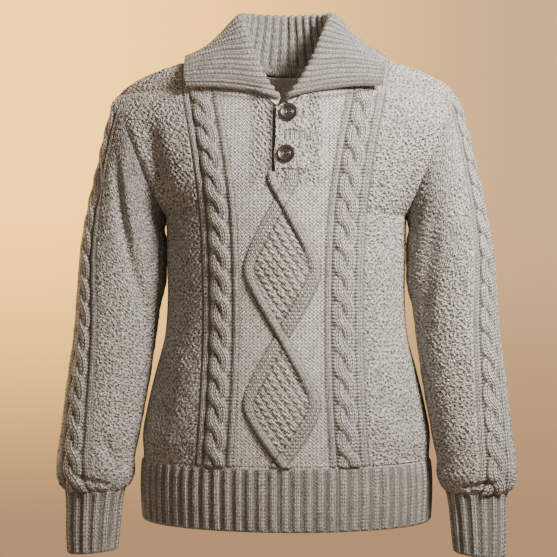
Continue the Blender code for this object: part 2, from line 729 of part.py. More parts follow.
def outside_panel(point, clear):
    """Moves a point of the collar out until it is clear of the panel beneath it."""
    x, y, z = point
    side = -1 if y < 0 else 1
    top = float(through(SHOULDER, 1, abs(x)))
    level = min(z, top - 0.01)
    turn = section_angle(np.float64(x), np.float64(level))
    face = panel_at(side, turn, np.float64(level))
    normal = panel_normal(side, turn, np.float64(level))
    over = (np.array([x, y, z]) - face) @ normal
    if over < clear:
        return np.array([x, y, z]) + normal * (clear - over)
    return np.array([x, y, z])


def collar_base(angle, towards):
    """Where the collar starts: beside the cut edge of the panel, in the middle of its wall."""
    angle = min(angle, 179.0)
    point = neck_point(angle)
    side = -1 if angle < 90 else 1
    turn = section_angle(point[0], point[2])
    normal = panel_normal(side, turn, point[2])
    run = neck_point(angle + 0.5) - neck_point(angle - 0.5)
    over_edge = unit(np.cross(normal, run))
    if over_edge @ np.array([-point[0], -point[1], 60.0]) < 0:
        over_edge = -over_edge
    rising = unit(towards - point)
    gap = COLLAR_GAP[side > 0] + WALL / 2 * abs(rising @ normal)
    return point - normal * WALL / 2 + over_edge * gap


def collar_path(station):
    """The middle of the collar's cloth from the neckline up, over the fold and down to the edge."""
    fold = np.array([through(COLLAR, k, station) for k in (1, 2, 3)], float)
    edge = np.array([through(COLLAR, k, station) for k in (4, 5, 6)], float)
    angle = float(through(COLLAR, 7, station))
    away = unit(np.array([fold[0], fold[1], 0.0]))
    to_base, to_edge = unit(neck_point(min(angle, 179.0)) - fold), unit(edge - fold)
    inner = fold + to_base * COLLAR_FOLD_DROP - away * COLLAR_FOLD_HALF
    outer = outside_panel(fold + to_edge * COLLAR_FOLD_DROP + away * COLLAR_FOLD_HALF, COLLAR_CLEAR)
    base = collar_base(angle, inner)
    path = [base, base * 0.5 + inner * 0.5, inner]
    path.append(fold + to_base * COLLAR_FOLD_DROP * 0.3 - away * COLLAR_FOLD_HALF * 0.75)
    path.append(fold)
    path.append(fold + to_edge * COLLAR_FOLD_DROP * 0.3 + away * COLLAR_FOLD_HALF * 0.75)
    path.append(outer)
    for share in (0.33, 0.68, 1.0):
        swell = np.array([0, 0, 4.0 * math.sin(math.pi * share)])
        path.append(outside_panel(outer * (1 - share) + edge * share + swell, COLLAR_CLEAR))
    return np.array(path)


def collar_columns(raised):
    """Stations run from the left front round the back to the right front: 0 to 6, then back to 0."""
    count = COLLAR_RIBS * 2 + 1 if raised else 25
    shares = np.linspace(0, 1, count)
    lengths = np.linspace(0, 12, 241)
    folds = np.array([collar_path(min(s, 12 - s))[4] * np.array([1 if s <= 6 else -1, 1, 1]) for s in lengths])
    run = np.concatenate([[0], np.cumsum(np.linalg.norm(np.diff(folds, axis=0), axis=1))])
    places = np.interp(shares * run[-1], run, lengths)
    grid = np.array([
        collar_path(min(s, 12 - s)) * np.array([1 if s <= 6 else -1, 1, 1]) for s in places
    ])
    along, across = np.gradient(grid, axis=0), np.gradient(grid, axis=1)
    out = unit(np.cross(across, along))
    rows = np.arange(grid.shape[1])
    ends = np.array([0.2, 0.6] + [1.0] * (len(rows) - 3) + [0.4])
    columns = []
    for k, share in enumerate(shares):
        ridge = COLLAR_RIB_HEIGHT * (k % 2) * ends if raised else 0 * ends
        lift = WALL / 2 + ridge if raised else -WALL / 2 + ridge
        columns.append((grid[k] + out[k] * lift[:, None], rows, (share, share)))
    return columns


def make_collar(collection):
    shell = Shell().close(collar_columns(True), collar_columns(False))
    make_piece("collar", shell.points, shell.faces, wool(), collection)


def band_columns(left, outer_lift, inner):
    """Columns of a band, each from the opening's lower end up to the neckline."""
    columns = []
    for x in np.linspace(left, PLACKET_RIGHT - 2 * HALF_GAP, BAND_COLUMNS):
        top = float(top_of(-1, x)) - BAND_NECK_GAP
        z = np.linspace(PLACKET_BOTTOM + BAND_END_GAP, top, BAND_ROWS)
        x = x + 0 * z
        turn = section_angle(x, z)
        lift = outer_lift - (WALL if inner else 0)
        points = panel_at(-1, turn, z) + panel_normal(-1, turn, z) * lift
        columns.append((points, z, (x[0], x[-1])))
    return columns


def make_band(name, set_back, lift, collection):
    left = PLACKET_LEFT + 2 * HALF_GAP + set_back
    shell = Shell().close(band_columns(left, lift, False), band_columns(left, lift, True))
    make_piece(name, shell.points, shell.faces, wool(), collection)


def make_button(name, place, collection):
    """A turned button, standing just off the band that it is sewn to."""
    x, z = np.float64(place[0]), np.float64(place[1])
    turn = section_angle(x, z)
    out = panel_normal(-1, turn, z)
    back = panel_at(-1, turn, z) + out * (BAND_RAISE + BUTTON_CLEAR)
    side_way = unit(np.cross(np.array([0.0, 0.0, 1.0]), out))
    up_way = np.cross(out, side_way)
    angles = np.arange(BUTTON_STEPS) * 2 * math.pi / BUTTON_STEPS
    points, faces = [back + out * BUTTON_PROFILE[0][1]], []
    for radius, height in BUTTON_PROFILE[1:-1]:
        for a in angles:
            points.append(back + out * height + radius * (math.cos(a) * side_way + math.sin(a) * up_way))
    points.append(back + out * BUTTON_PROFILE[-1][1])
    rings, last = len(BUTTON_PROFILE) - 2, len(points) - 1
    for k in range(BUTTON_STEPS):
        after = (k + 1) % BUTTON_STEPS
        faces.append((0, 1 + k, 1 + after))
        for ring in range(rings - 1):
            low, high = 1 + ring * BUTTON_STEPS, 1 + (ring + 1) * BUTTON_STEPS
            faces.append((low + k, high + k, high + after))
            faces.append((low + k, high + after, low + after))
        top = 1 + (rings - 1) * BUTTON_STEPS
        faces.append((top + k, last, top + after))
    make_piece(name, points, faces, horn(), collection)


def clear_scene():
    for item in list(bpy.data.objects):
        bpy.data.objects.remove(item, do_unlink=True)


def main():
    clear_scene()
    collection = bpy.data.collections.new("cable_knit_pullover")
    bpy.context.scene.collection.children.link(collection)
    cutters = bpy.data.collections.new("cutters")
    bpy.context.scene.collection.children.link(cutters)
    cut_placket_opening(make_panel(-1, "front", collection), cutters)
    make_panel(1, "back", collection)
    make_sleeve(1, "sleeve_left", collection)
    make_sleeve(-1, "sleeve_right", collection)
    make_hem(collection)
    make_cuff(1, "cuff_left", collection)
    make_cuff(-1, "cuff_right", collection)
    make_collar(collection)
    make_band("placket_over", BAND_SET_BACK, BAND_RAISE, collection)
    make_band("placket_under", 0, BAND_RAISE - WALL - BAND_GAP, collection)
    make_button("button_top", BUTTON_TOP_AT, collection)
    make_button("button_bottom", BUTTON_BOTTOM_AT, collection)


main()
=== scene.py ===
# %% [markdown]
# # A cable knit pullover, as it hangs when worn
#
# The real thing is heavy wool knitted in raised cables, a lattice of two travelling strands and a field of
# moss stitch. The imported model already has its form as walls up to 3 mm thick, and the cables as coarse ridges.
# Here each knitted piece is made again on the same form, finely enough for its stitches to catch the light.
# It could be draped by a simulation, but a worn jumper barely moves from its pattern, so each surface is a
# function of two parameters, across and up the cloth, and its relief is added along its own normal.

import functools
import math

import bpy
import numpy as np
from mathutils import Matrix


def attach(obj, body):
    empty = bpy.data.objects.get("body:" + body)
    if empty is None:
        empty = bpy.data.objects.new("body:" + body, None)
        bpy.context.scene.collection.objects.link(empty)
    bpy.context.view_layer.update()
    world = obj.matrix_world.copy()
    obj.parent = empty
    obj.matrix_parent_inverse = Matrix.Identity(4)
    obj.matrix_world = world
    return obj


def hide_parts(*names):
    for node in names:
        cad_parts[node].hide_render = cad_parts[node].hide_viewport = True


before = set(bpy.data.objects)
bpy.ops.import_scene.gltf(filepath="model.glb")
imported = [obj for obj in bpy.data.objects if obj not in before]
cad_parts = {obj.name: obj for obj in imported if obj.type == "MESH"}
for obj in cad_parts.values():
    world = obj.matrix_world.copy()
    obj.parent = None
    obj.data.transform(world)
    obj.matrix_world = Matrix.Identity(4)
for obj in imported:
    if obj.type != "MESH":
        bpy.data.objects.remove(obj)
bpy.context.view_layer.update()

# %% [markdown]
# ## Sizes
#
# All lengths are in millimetres until a mesh is made. The tables are rings and lines of the garment: a smooth
# curve runs through each column, so a whole panel needs only a few rows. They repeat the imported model's own
# sizes, because a piece that replaces a solid has to lie where that solid lies.

# %% Sizes of the garment
METRES = 0.001
WALL = 3.0
HALF_GAP = 0.03

# Height, half width, half depth in front, half depth behind.
BODY = np.array([
    [-622, 189.5, 122, 122],
    [-600, 191.0, 124, 124],
    [-555, 191.0, 125, 125],
    [-540, 189.5, 125, 125],
    [-510, 190.5, 126, 126],
    [-472, 184.0, 125, 124],
    [-426, 173.0, 121, 117],
    [-382, 161.5, 117, 108],
    [-332, 157.5, 116, 103],
    [-275, 158.5, 116, 106],
    [-222, 160.0, 114, 111],
    [-150, 170.0, 104, 109],
    [-80, 200.0, 88, 98],
    [-30, 225.0, 79, 86],
    [0, 225.0, 76, 80],
])
HEM_SEAM = -540
HEM_EDGE = -622
SHOULDER_CURVE = 82
# Distance from the middle, height.
SHOULDER = np.array([[0, -1], [75, -3], [130, -15], [175, -29], [203, -42], [217, -52], [225, -60]])
NECK_HALF_WIDTH = 75
# Distance from the middle, height in front, height behind.
NECKLINE = np.array([
    [0, -84, -28], [12, -83, -28], [27, -64, -26.5], [43, -43.6, -21.5], [59, -23.3, -13], [75, -3, -3],
])
ARMHOLE_MIDDLE = (192.5, -141.0)
ARMHOLE_HALF = (32.5, 81.0)
ARMHOLE_HALF_DEPTH = 58.0
UNDERARM = -222
SHOULDER_OPENING = math.radians(62)
MIDDLE_OPENING = math.radians(56.5)

# Ring, outer x and z, inner x and z, half depth, y of the middle.
SLEEVE = np.array([
    [0, 225, -60, 160, -222, 58, 0],
    [1, 238, -106, 163.5, -240, 60, 0],
    [2, 250, -155, 163.5, -260, 60, -1],
    [3, 262, -207, 163, -286, 58, -3],
    [4, 272, -262, 164, -316, 56, -6],
    [5, 276, -315, 169, -350, 53, -10],
    [6, 279, -365, 174, -390, 51, -15],
    [7, 285, -418, 180, -434, 49, -20],
    [8, 291, -465, 187, -475, 48, -24],
    [9, 295, -507, 194, -513, 47, -28],
    [10, 299, -536, 199, -540, 46, -30],
    [11, 300, -557, 199, -560, 43, -32],
    [12, 296, -573, 204, -573, 37, -33],
    [13, 288, -581, 211, -580, 31, -34],
    [14, 286, -600, 215, -597, 29, -34],
    [15, 286, -630, 218, -627, 28, -35],
    [16, 284, -664, 221, -658, 27, -36],
])
CUFF_RING = 13
LAST_RING = 16
RING_STEP = 40
ARMHOLE_GAP = 0.12
# Ring, angle of the cable's middle from the outer edge towards the front.
SLEEVE_CABLE = np.array([[0, 26], [3, 32], [6, 46], [9, 58], [12, 64], [16, 66]])
# Height, distance of a cable from the middle.
CABLE_LINE = np.array([[-545, 85.5], [-465, 80.5], [-332, 77.6], [-200, 84], [-130, 94], [-65, 106], [0, 113]])

# Folds of a panel: x and z of each end, depth, half width.
FRONT_FOLDS = np.array([
    [-177, -92, -151, -262, 10, 14],
    [172, -125, 150, -318, 6, 14],
    [-146, -420, -164, -500, 4, 16],
    [120, -430, 168, -505, 4, 14],
])
BACK_FOLDS = np.array([
    [-172, -95, -142, -250, 11, 13],
    [171, -100, 146, -280, 9, 13],
    [-60, -395, 70, -410, 3, 18],
    [-150, -430, -168, -505, 4, 15],
])
# Folds of a sleeve: ring and angle in degrees of each end, depth, half width.
LEFT_SLEEVE_FOLDS = np.array([
    [1.6, 104, 6.0, 150, 5, 15],
    [3.0, -60, 5.5, -110, 7, 12],
    [7.2, 40, 8.6, 105, 4, 10],
    [9.6, -40, 10.6, -100, 5, 10],
    [11.2, 55, 11.9, 125, 4, 8],
])
RIGHT_SLEEVE_FOLDS = np.array([
    [1.0, 62, 5.2, 140, 10, 10],
    [1.6, 28, 2.8, 44, 5, 8],
    [3.0, -60, 5.5, -110, 7, 12],
    [8.8, 100, 10.2, 130, 5, 9],
    [11.0, 60, 11.8, 120, 4, 8],
])

# %% [markdown]
# ## Smooth curves through a table
#
# A row of a table is one measured ring. Cubic pieces between the rows give a curve with no corner in it. The
# slope at a row comes from its neighbours, which is what Blender does for an automatic curve handle.


# %% Curves, vectors and soft steps
def smooth_curve(keys, values, at):
    """A smooth curve through the values, which run along the first axis: cubic pieces, sloped by their neighbours."""
    slopes = np.gradient(values, keys, axis=0)
    i = np.clip(np.searchsorted(keys, at, side="right") - 1, 0, len(keys) - 2)
    step = (keys[i + 1] - keys[i]).reshape(at.shape + (1,) * (values.ndim - 1))
    f = np.clip((at - keys[i]).reshape(step.shape) / step, 0, 1)
    rise = f * f * (3 - 2 * f)
    leave = f * (1 - f) ** 2 * slopes[i]
    arrive = f * f * (1 - f) * slopes[i + 1]
    return values[i] * (1 - rise) + values[i + 1] * rise + step * (leave - arrive)


def through(rows, column, at):
    """The smooth curve through one column of a table, over its first column."""
    rows = rows.astype(float)
    return smooth_curve(rows[:, 0], rows[:, column], np.asarray(at, float))


def eased(value):
    """0 up to 0, 1 from 1, and between them 3v^2 - 2v^3."""
    value = np.clip(value, 0, 1)
    return value * value * (3 - 2 * value)


def bell(value, width=1.0):
    """A Gaussian bump: e to the minus square of value over width."""
    return np.exp(-((value / width) ** 2))


def round_top(off):
    """The round back of a strand or a rib: the root of 1 less the distance to the power 2.6."""
    return np.sqrt(np.clip(1 - np.abs(off) ** 2.6, 0, 1))


def unit(vectors):
    """Each vector divided by its length."""
    return vectors / np.maximum(np.linalg.norm(vectors, axis=-1, keepdims=True), 1e-9)


def lengths_along(points):
    """The length of a line up to each of its points: the running sum of its steps."""
    steps = np.linalg.norm(np.diff(points, axis=0), axis=-1)
    return np.concatenate([0 * steps[:1], np.cumsum(steps, axis=0)])


def folds_at(folds, a, b):
    """Depth of the folds: along each line a Gaussian trough, eased away at both ends."""
    total = np.zeros(np.broadcast(a, b).shape)
    for a0, b0, a1, b1, depth, width in folds:
        run = np.array([a1 - a0, b1 - b0])
        along = ((a - a0) * run[0] + (b - b0) * run[1]) / (run @ run)
        off = ((a - a0) * run[1] - (b - b0) * run[0]) / np.linalg.norm(run)
        total += depth * eased((along + 0.12) / 0.45) * eased((1.12 - along) / 0.45) * bell(off, width)
    return total


# %% [markdown]
# ## One closed wall from two grids
#
# Knitted cloth shows its stitches outside and is plain inside a worn jumper, so the outer grid is fine and the
# inner one has a point for every fourth of its points. Triangles round the rim join four short edges to one long edge.
# Solidify could give the thickness too, but it would double every fine face that nobody sees.


# %% Make a closed wall
COARSE = 4


def outline_cells(last_i, last_j, notch=None):
    """Coarse grid corners round the outline, anticlockwise, down into the notch (i0, i1, j0) and out again."""
    corners = [(0, 0), (last_i, 0), (last_i, last_j), (0, last_j), (0, 0)]
    if notch:
        i0, i1, j0 = notch
        corners[3:3] = [(i1, last_j), (i1, j0), (i0, j0), (i0, last_j)]
    runs = [np.linspace(a, b, np.abs(np.subtract(a, b)).max(), endpoint=False) for a, b in zip(corners, corners[1:])]
    return np.round(np.concatenate([*runs, corners[-1:]])).astype(int)


def grid_quads(ids, around):
    """The corners of every cell, as rows of four point numbers."""
    here, after = (ids, np.roll(ids, -1, axis=0)) if around else (ids[:-1], ids[1:])
    return np.stack([here[:, :-1], after[:, :-1], after[:, 1:], here[:, 1:]], axis=-1)


def rim_triangles(fine, coarse, step):
    """Fans from each coarse point to the fine edges nearest it, and one triangle on each coarse edge."""
    f = fine[np.arange(len(coarse) - 1)[:, None] * step + np.arange(step + 1)[None, :]]
    c0, c1 = coarse[:-1], coarse[1:]
    half = step // 2
    parts = [np.stack([f[:, half], c0, c1], axis=-1)]
    for k in range(step):
        parts.append(np.stack([f[:, k + 1], f[:, k], c0 if k < half else c1], axis=-1))
    return np.concatenate(parts)


def inside_out(points, quads):
    """True when the faces look inwards: the volumes that they make with the origin then add up to less than 0."""
    a, b, c, d = (points[quads[:, k]] for k in range(4))
    return (a * (np.cross(b, c) + np.cross(c, d))).sum() < 0


def make_wall(name, face, outer, inner, uvs, stitch_and_shade_masks, pick=None, around=False, notch=None, step=COARSE):
    """One closed mesh. uvs is a stack of outer UV grids, and pick says which of
    them each outer cell uses. Around is true for a tube, and a notch is left out."""
    o_ids = np.arange(outer[..., 0].size).reshape(outer.shape[:2])
    i_ids = np.arange(inner[..., 0].size).reshape(inner.shape[:2]) + o_ids.size
    o_quads, i_quads = grid_quads(o_ids, around), grid_quads(i_ids, around)[..., [0, 3, 2, 1]]
    o_keep, i_keep = np.ones(o_quads.shape[:2], bool), np.ones(i_quads.shape[:2], bool)
    if around:
        triangles = np.concatenate([
            rim_triangles(*(np.append(ids[:, j], ids[0, j])[::way] for ids in (o_ids, i_ids)), step)
            for j, way in ((0, 1), (-1, -1))])
    else:
        path = outline_cells(inner.shape[0] - 1, inner.shape[1] - 1, notch)
        share = np.arange(step)[None, :, None] / step
        between = path[:-1, None, :] * (1 - share) + path[1:, None, :] * share
        fine = np.round(np.concatenate([between.reshape(-1, 2), path[-1:]]) * step).astype(int)
        triangles = rim_triangles(o_ids[fine[:, 0], fine[:, 1]], i_ids[path[:, 0], path[:, 1]], step)
    if notch:
        i0, i1, j0 = notch
        i_keep[i0:i1, j0:] = False
        o_keep[i0 * step:i1 * step, j0 * step:] = False
    note_cut(np.concatenate([face, face[:1]]) if around else face)
    quads = np.concatenate([o_quads[o_keep], i_quads[i_keep]])
    points = np.concatenate([outer.reshape(-1, 3), inner.reshape(-1, 3)]) * METRES
    uv_quads = grid_quads(np.arange(uvs[0, ..., 0].size).reshape(uvs.shape[1:3]), False)[o_keep]
    if inside_out(points, quads):
        quads, triangles, uv_quads = quads[:, ::-1], triangles[:, ::-1], uv_quads[:, ::-1]
    layer = 0 if pick is None else pick[:o_keep.shape[0], :o_keep.shape[1]][o_keep][:, None]
    uv = uvs.reshape(len(uvs), -1, 2)[layer, uv_quads].reshape(-1, 2)
    used = np.zeros(len(points), bool)
    used[quads] = True
    used[triangles] = True
    number = np.cumsum(used) - 1
    masks = {key: np.append(value, np.zeros(i_ids.size))[used] for key, value in stitch_and_shade_masks.items()}
    return fill_mesh(name, points[used], number[quads], number[triangles], uv, masks)


def fill_mesh(name, points, quads, triangles, uv, masks):
    """Arrays into a mesh: corner numbers, where each face starts, UVs of its first faces, and point masks."""
    mesh = bpy.data.meshes.new(name)
    mesh.vertices.add(len(points))
    mesh.vertices.foreach_set("co", points.astype(np.float32).ravel())
    loops = np.concatenate([quads.ravel(), triangles.ravel()]).astype(np.int32)
    sizes = np.concatenate([np.full(len(quads), 4), np.full(len(triangles), 3)])
    mesh.loops.add(len(loops))
    mesh.loops.foreach_set("vertex_index", loops)
    mesh.polygons.add(len(sizes))
    mesh.polygons.foreach_set("loop_start", np.append(0, np.cumsum(sizes)[:-1]).astype(np.int32))
    mesh.polygons.foreach_set("use_smooth", np.ones(len(sizes), bool))
    mesh.update(calc_edges=True)
    layer = mesh.uv_layers.new(name="stitches")
    uv = np.concatenate([uv, np.full((len(loops) - len(uv), 2), 0.5)])
    layer.data.foreach_set("uv", uv.astype(np.float32).ravel())
    for key, values in masks.items():
        mesh.attributes.new(key, "FLOAT", "POINT").data.foreach_set("value", values.astype(np.float32))
    piece = bpy.data.objects.new(name, mesh)
    bpy.context.scene.collection.objects.link(piece)
    print(name, "triangles", 2 * len(quads) + len(triangles))
    return piece


def note_cut(face):
    """Takes the cross products of the diagonals of the cells of a piece's plain face, before anything is raised or
    folded, and keeps nothing.
    """
    diagonals = np.cross(face[1:, 1:] - face[:-1, :-1], face[:-1, 1:] - face[1:, :-1])


# %% [markdown]
# ## The body panels
#
# Front and back are cut to the same outline. A section at any height is part of an ellipse that ends at the
# side seam, and above the underarm it ends at the armhole, which is an ellipse in a slanted plane. So a point
# of the cloth is found from two numbers: how far it has turned round the section, and its height.


# %% The plain surface of a panel
def armhole_turn(z):
    """The angle round the armhole's ellipse at which it reaches this height."""
    return np.arccos(np.clip((z - ARMHOLE_MIDDLE[1]) / ARMHOLE_HALF[1], -1, 1))


def armhole_rim(turn, hand=1, side=-1):
    """The armhole's inner edge: the same ellipse, one wall smaller."""
    shrink = 1 - WALL / math.hypot(*ARMHOLE_HALF)
    x, z = (middle + half * shrink * np.cos(turn) for middle, half in zip(ARMHOLE_MIDDLE, ARMHOLE_HALF))
    return np.stack([hand * x, side * (ARMHOLE_HALF_DEPTH - WALL) * np.sin(turn), z], axis=-1)


def panel_edge(z):
    """Half width at this height, how far in front of the seam the edge is, and the section's angle there."""
    turn = armhole_turn(z)
    in_armhole = z > UNDERARM
    half = np.where(in_armhole, ARMHOLE_MIDDLE[0] + ARMHOLE_HALF[0] * np.cos(turn), through(BODY, 1, z))
    forward = np.where(in_armhole, ARMHOLE_HALF_DEPTH * np.sin(turn), 0)
    lower = np.arccos(np.clip(2 * forward / (through(BODY, 2, z) + through(BODY, 3, z)), 0, 1))
    share = eased((z - ARMHOLE_MIDDLE[1]) / ARMHOLE_HALF[1])
    upper = MIDDLE_OPENING + (SHOULDER_OPENING - MIDDLE_OPENING) * share
    return half, forward, np.where(z < ARMHOLE_MIDDLE[1], lower, upper)


def section_angle(x, z):
    """The turn, from -1 to 1, at which the section reaches this x."""
    half, _, angle = panel_edge(z)
    return np.arcsin(np.clip(x * np.sin(angle) / half, -1, 1)) / angle


def panel_at(side, turn, z):
    """The plain face. Side is -1 in front and 1 behind: x follows the sine of the turn, y its cosine."""
    half, forward, angle = panel_edge(z)
    x = half * np.sin(turn * angle) / np.sin(angle)
    below = np.clip((through(SHOULDER, 1, np.abs(x)) - z) / SHOULDER_CURVE, 0, 1)
    depth = through(BODY, 2 if side < 0 else 3, z) * np.sqrt(1 - (1 - below) ** 2)
    fullness = (np.cos(turn * angle) - np.cos(angle)) / (1 - np.cos(angle))
    y = side * (forward + (depth - forward) * fullness)
    return np.stack([x, y, z + 0 * x], axis=-1)


def panel_normal(side, turn, z):
    """Outward direction: the cross product of small steps up and across the face."""
    across = panel_at(side, turn + 0.004, z) - panel_at(side, turn - 0.004, z)
    up = panel_at(side, turn, z + 0.4) - panel_at(side, turn, z - 0.4)
    return unit(np.cross(up, across) * side)


def panel_face(side, x, z):
    """The plain face at this x and height, and its outward direction."""
    turn = section_angle(x, z)
    return panel_at(side, turn, z), panel_normal(side, turn, z)


def top_of(side, x):
    """Height of the neckline or the shoulder seam at this distance from the middle."""
    neck = through(NECKLINE, 1 if side < 0 else 2, np.abs(x))
    return np.where(np.abs(x) < NECK_HALF_WIDTH, neck, through(SHOULDER, 1, np.abs(x)))


def cable_lengths(side):
    """Heights up the cable's line, and the length of cloth from the hem to each."""
    z = np.linspace(HEM_SEAM, -3, 500)
    return z, lengths_along(panel_face(side, through(CABLE_LINE, 1, z), z)[0])


# %% [markdown]
# ## Stitch patterns as heights
#
# Three things are raised on this cloth. A cable is two strands of knit stitches that swing from side to side,
# and each passes over the other in turn. A travelling strand wanders over the ground to outline a lattice. Moss
# stitch alternates knit and purl, which gives staggered pebbles. Each is a height over the plain face, written
# as a function of the distance across and the length along the cloth. Beside each height goes a painted shade, from 0
# to
# 1, which darkens the colour where a point lies deep between its neighbours, because little light gets in there. Hand
# knitting is never quite even, so sums of slow sines push the pebbles about.

# %% Sizes of the stitches and the raised patterns
WALE = 4.9
COURSE = 4.5
CABLE_PITCH = 32.3
CABLE_SWING = 5.7
CABLE_TURN = 1.1
STRAND_HALF_WIDTH = 8.6
STRAND_HEIGHT = 4.0
STRAND_LIFT = 1.3
CREASE_DEPTH = 1.3
BORDER_AT = 19.8
BORDER_HALF_WIDTH = 3.6
BORDER_HEIGHT = 2.0
GROUP_HALF = 23.8
GUTTER_AT = 14.8
# Place across a wale where only the courses show, so that a gutter becomes a ladder of rungs darkened by painted shade.
LADDER_PLACE = 0.7
# Height, turns of the lattice's zigzag in half rounds: its strands cross at each whole number.
DIAMOND_TURNS = np.array([
    [-545, 2.1], [-533, 2.0], [-462, 1.5], [-377, 1.0], [-293, 0.5], [-204, 0.0], [-160, -0.25],
])
DIAMOND_TOP = -204
DIAMOND_HALF_WIDTH = 41.5
DIAMOND_SHARPNESS = 0.96
# Where the strands begin, in front and behind.
DIAMOND_END = (-166, -193)
DIAMOND_START = 13.0
TRAVEL_HALF_WIDTH = 6.6
TRAVEL_HEIGHT = 3.6
TRAVEL_LIFT = 1.5
GROOVE_DEPTH = 1.4
GROUND_WALE = 5.0
# The wales of the side panels are numbered from here, and moss begins over this width beside a cable.
SIDE_WALES = 20
MOSS_EDGE = 2.5
MOSS_ACROSS = 7.6
MOSS_UP = 4.3
MOSS_HEIGHT = 1.8
SEED_ACROSS = 11.8
SEED_SLANT = 0.66
SEED_UP = 8.8
SEED_HEIGHT = 3.1


def uv_layers(places, along):
    """Stacked UV grids: a place counted in wales, and the length of cloth counted in courses."""
    return np.stack([np.stack(np.broadcast_arrays(place, along / COURSE), axis=-1) for place in places])


def rope(across, along):
    """Two-strand cable: height, whether a strand is there, the place across it, the painted shade.

    A strand's middle swings as a flattened cosine of the length, its top is round, and it is as wide again
    sideways where it runs at a slant. A sine lifts one strand where the other dips, so they pass over each
    other, and where the two are level a crease runs between them. Painted shade darkens the crease, most on the
    side of the upper strand away from the lamp on the right, and the low cloth beside the strands.
    """
    phase = math.pi * along / CABLE_PITCH
    heights, offs = [], []
    for start in (0, math.pi):
        swing = np.tanh(CABLE_TURN * np.cos(phase + start)) / math.tanh(CABLE_TURN)
        turning = 1 - (swing * math.tanh(CABLE_TURN)) ** 2
        slope = CABLE_SWING * CABLE_TURN * turning * np.sin(phase) * math.pi / CABLE_PITCH
        off = (across + CABLE_SWING * swing) / (STRAND_HALF_WIDTH * np.sqrt(1 + slope**2))
        top = round_top(off)
        heights.append(STRAND_HEIGHT * top + STRAND_LIFT * np.sin(phase + start) * eased(2.2 * top))
        offs.append(off)
    height, apart = np.maximum(*heights), heights[0] - heights[1]
    both = np.clip(np.minimum(*heights) / 0.8, 0, 1)
    crease = both * bell(apart, 0.7)
    # Painted shade: the crease darker on one side of the upper strand, as the lamp on the right would shade it, and the
    # low cloth within the cable's borders.
    beside_top = np.where(np.sin(phase) > 0, *offs)
    shade = both * bell(apart, 1.1) * (1 - 0.8 * eased(beside_top + 0.45))
    edge = np.clip(1 - height / 1.8, 0, 1) * (np.abs(across) < BORDER_AT - BORDER_HALF_WIDTH)
    place = np.where(height > 0.02, np.clip(np.where(apart >= 0, *offs), -1, 1), 0)
    return height - CREASE_DEPTH * crease, height > 0.02, place, np.maximum(shade, 0.7 * edge)


def border_ribs(across):
    """A rib of two knit wales on each side of a cable: a round ridge with a crease up its middle."""
    off = (np.abs(across) - BORDER_AT) / BORDER_HALF_WIDTH
    ridge = np.clip(1 - np.abs(off) ** 2.8, 0, 1) ** 0.8 - 0.35 * bell(off, 0.25)
    return BORDER_HEIGHT * np.where(np.abs(off) < 1, ridge, 0), np.abs(off) < 1


def gutter_shade(across):
    """Painted shade in the purl gutters beside a border rib, which lie low: two narrow bells, the inner one darker."""
    away = np.abs(across)
    return 0.95 * bell(away - GUTTER_AT, 1.4) + 0.75 * bell(away - BORDER_AT - BORDER_HALF_WIDTH - 0.7, 1.2)


def add_cable(across, along, hand, places, pick):
    """A cable with its border ribs and gutters: height and painted shade.

    Its strands, ribs and gutters each add their place across a wale to the UV places, and note at the points
    they cover which entry of that list to pick. A hand of -1 lets the strands cross the other way.
    """
    # The fourth value of rope is its painted shade, not relief.
    cable, on_strand, off, crease = rope(hand * across, along)
    rib, on_rib = border_ribs(across)
    gutter = ~on_strand & ~on_rib & (np.abs(across) < BORDER_AT)
    rib_place = (np.abs(across) - BORDER_AT) / (BORDER_HALF_WIDTH / 0.95) + 1
    for place, where in ((1.5 + 1.5 * off, on_strand), (rib_place, on_rib), (LADDER_PLACE + 0 * off, gutter)):
        pick[where] = len(places)
        places.append(place)
    return cable + rib, np.maximum(crease, gutter_shade(across))


def pebbles(across, along):
    """Staggered pebbles and painted shade in the pits between them: two cosines multiplied, after slow sines have
    pushed both places.
    """
    drift = 0.9 * np.sin(along / 3.7 + 1.9 * np.sin(across / 17)) + 0.8 * np.sin(along / 11.3 + across / 7.1)
    sag = 0.8 * np.sin(across / 4.3 + 1.7 * np.sin(along / 13)) + 0.6 * np.sin(across / 9.7 - along / 6.1)
    wave = np.cos(2 * math.pi * (across + drift) / MOSS_ACROSS) * np.cos(math.pi * (along + sag) / MOSS_UP)
    size = 0.8 + 0.2 * np.sin(across / 5.3 + 2.1 * np.sin(along / 9.1))
    return size * eased((wave + 0.7) / 1.5), eased((-0.28 - wave) / 0.6)


def strand_middle(z):
    """Distance of a travelling strand from the middle line: the arcsine of a sine, held in above the first cross."""
    turn = math.pi * through(DIAMOND_TURNS, 1, z)
    swing = np.arcsin(DIAMOND_SHARPNESS * np.sin(turn)) / math.asin(DIAMOND_SHARPNESS)
    reach = np.where(z > DIAMOND_TOP, DIAMOND_START, DIAMOND_HALF_WIDTH)
    return np.clip(DIAMOND_HALF_WIDTH * swing, -reach, reach)


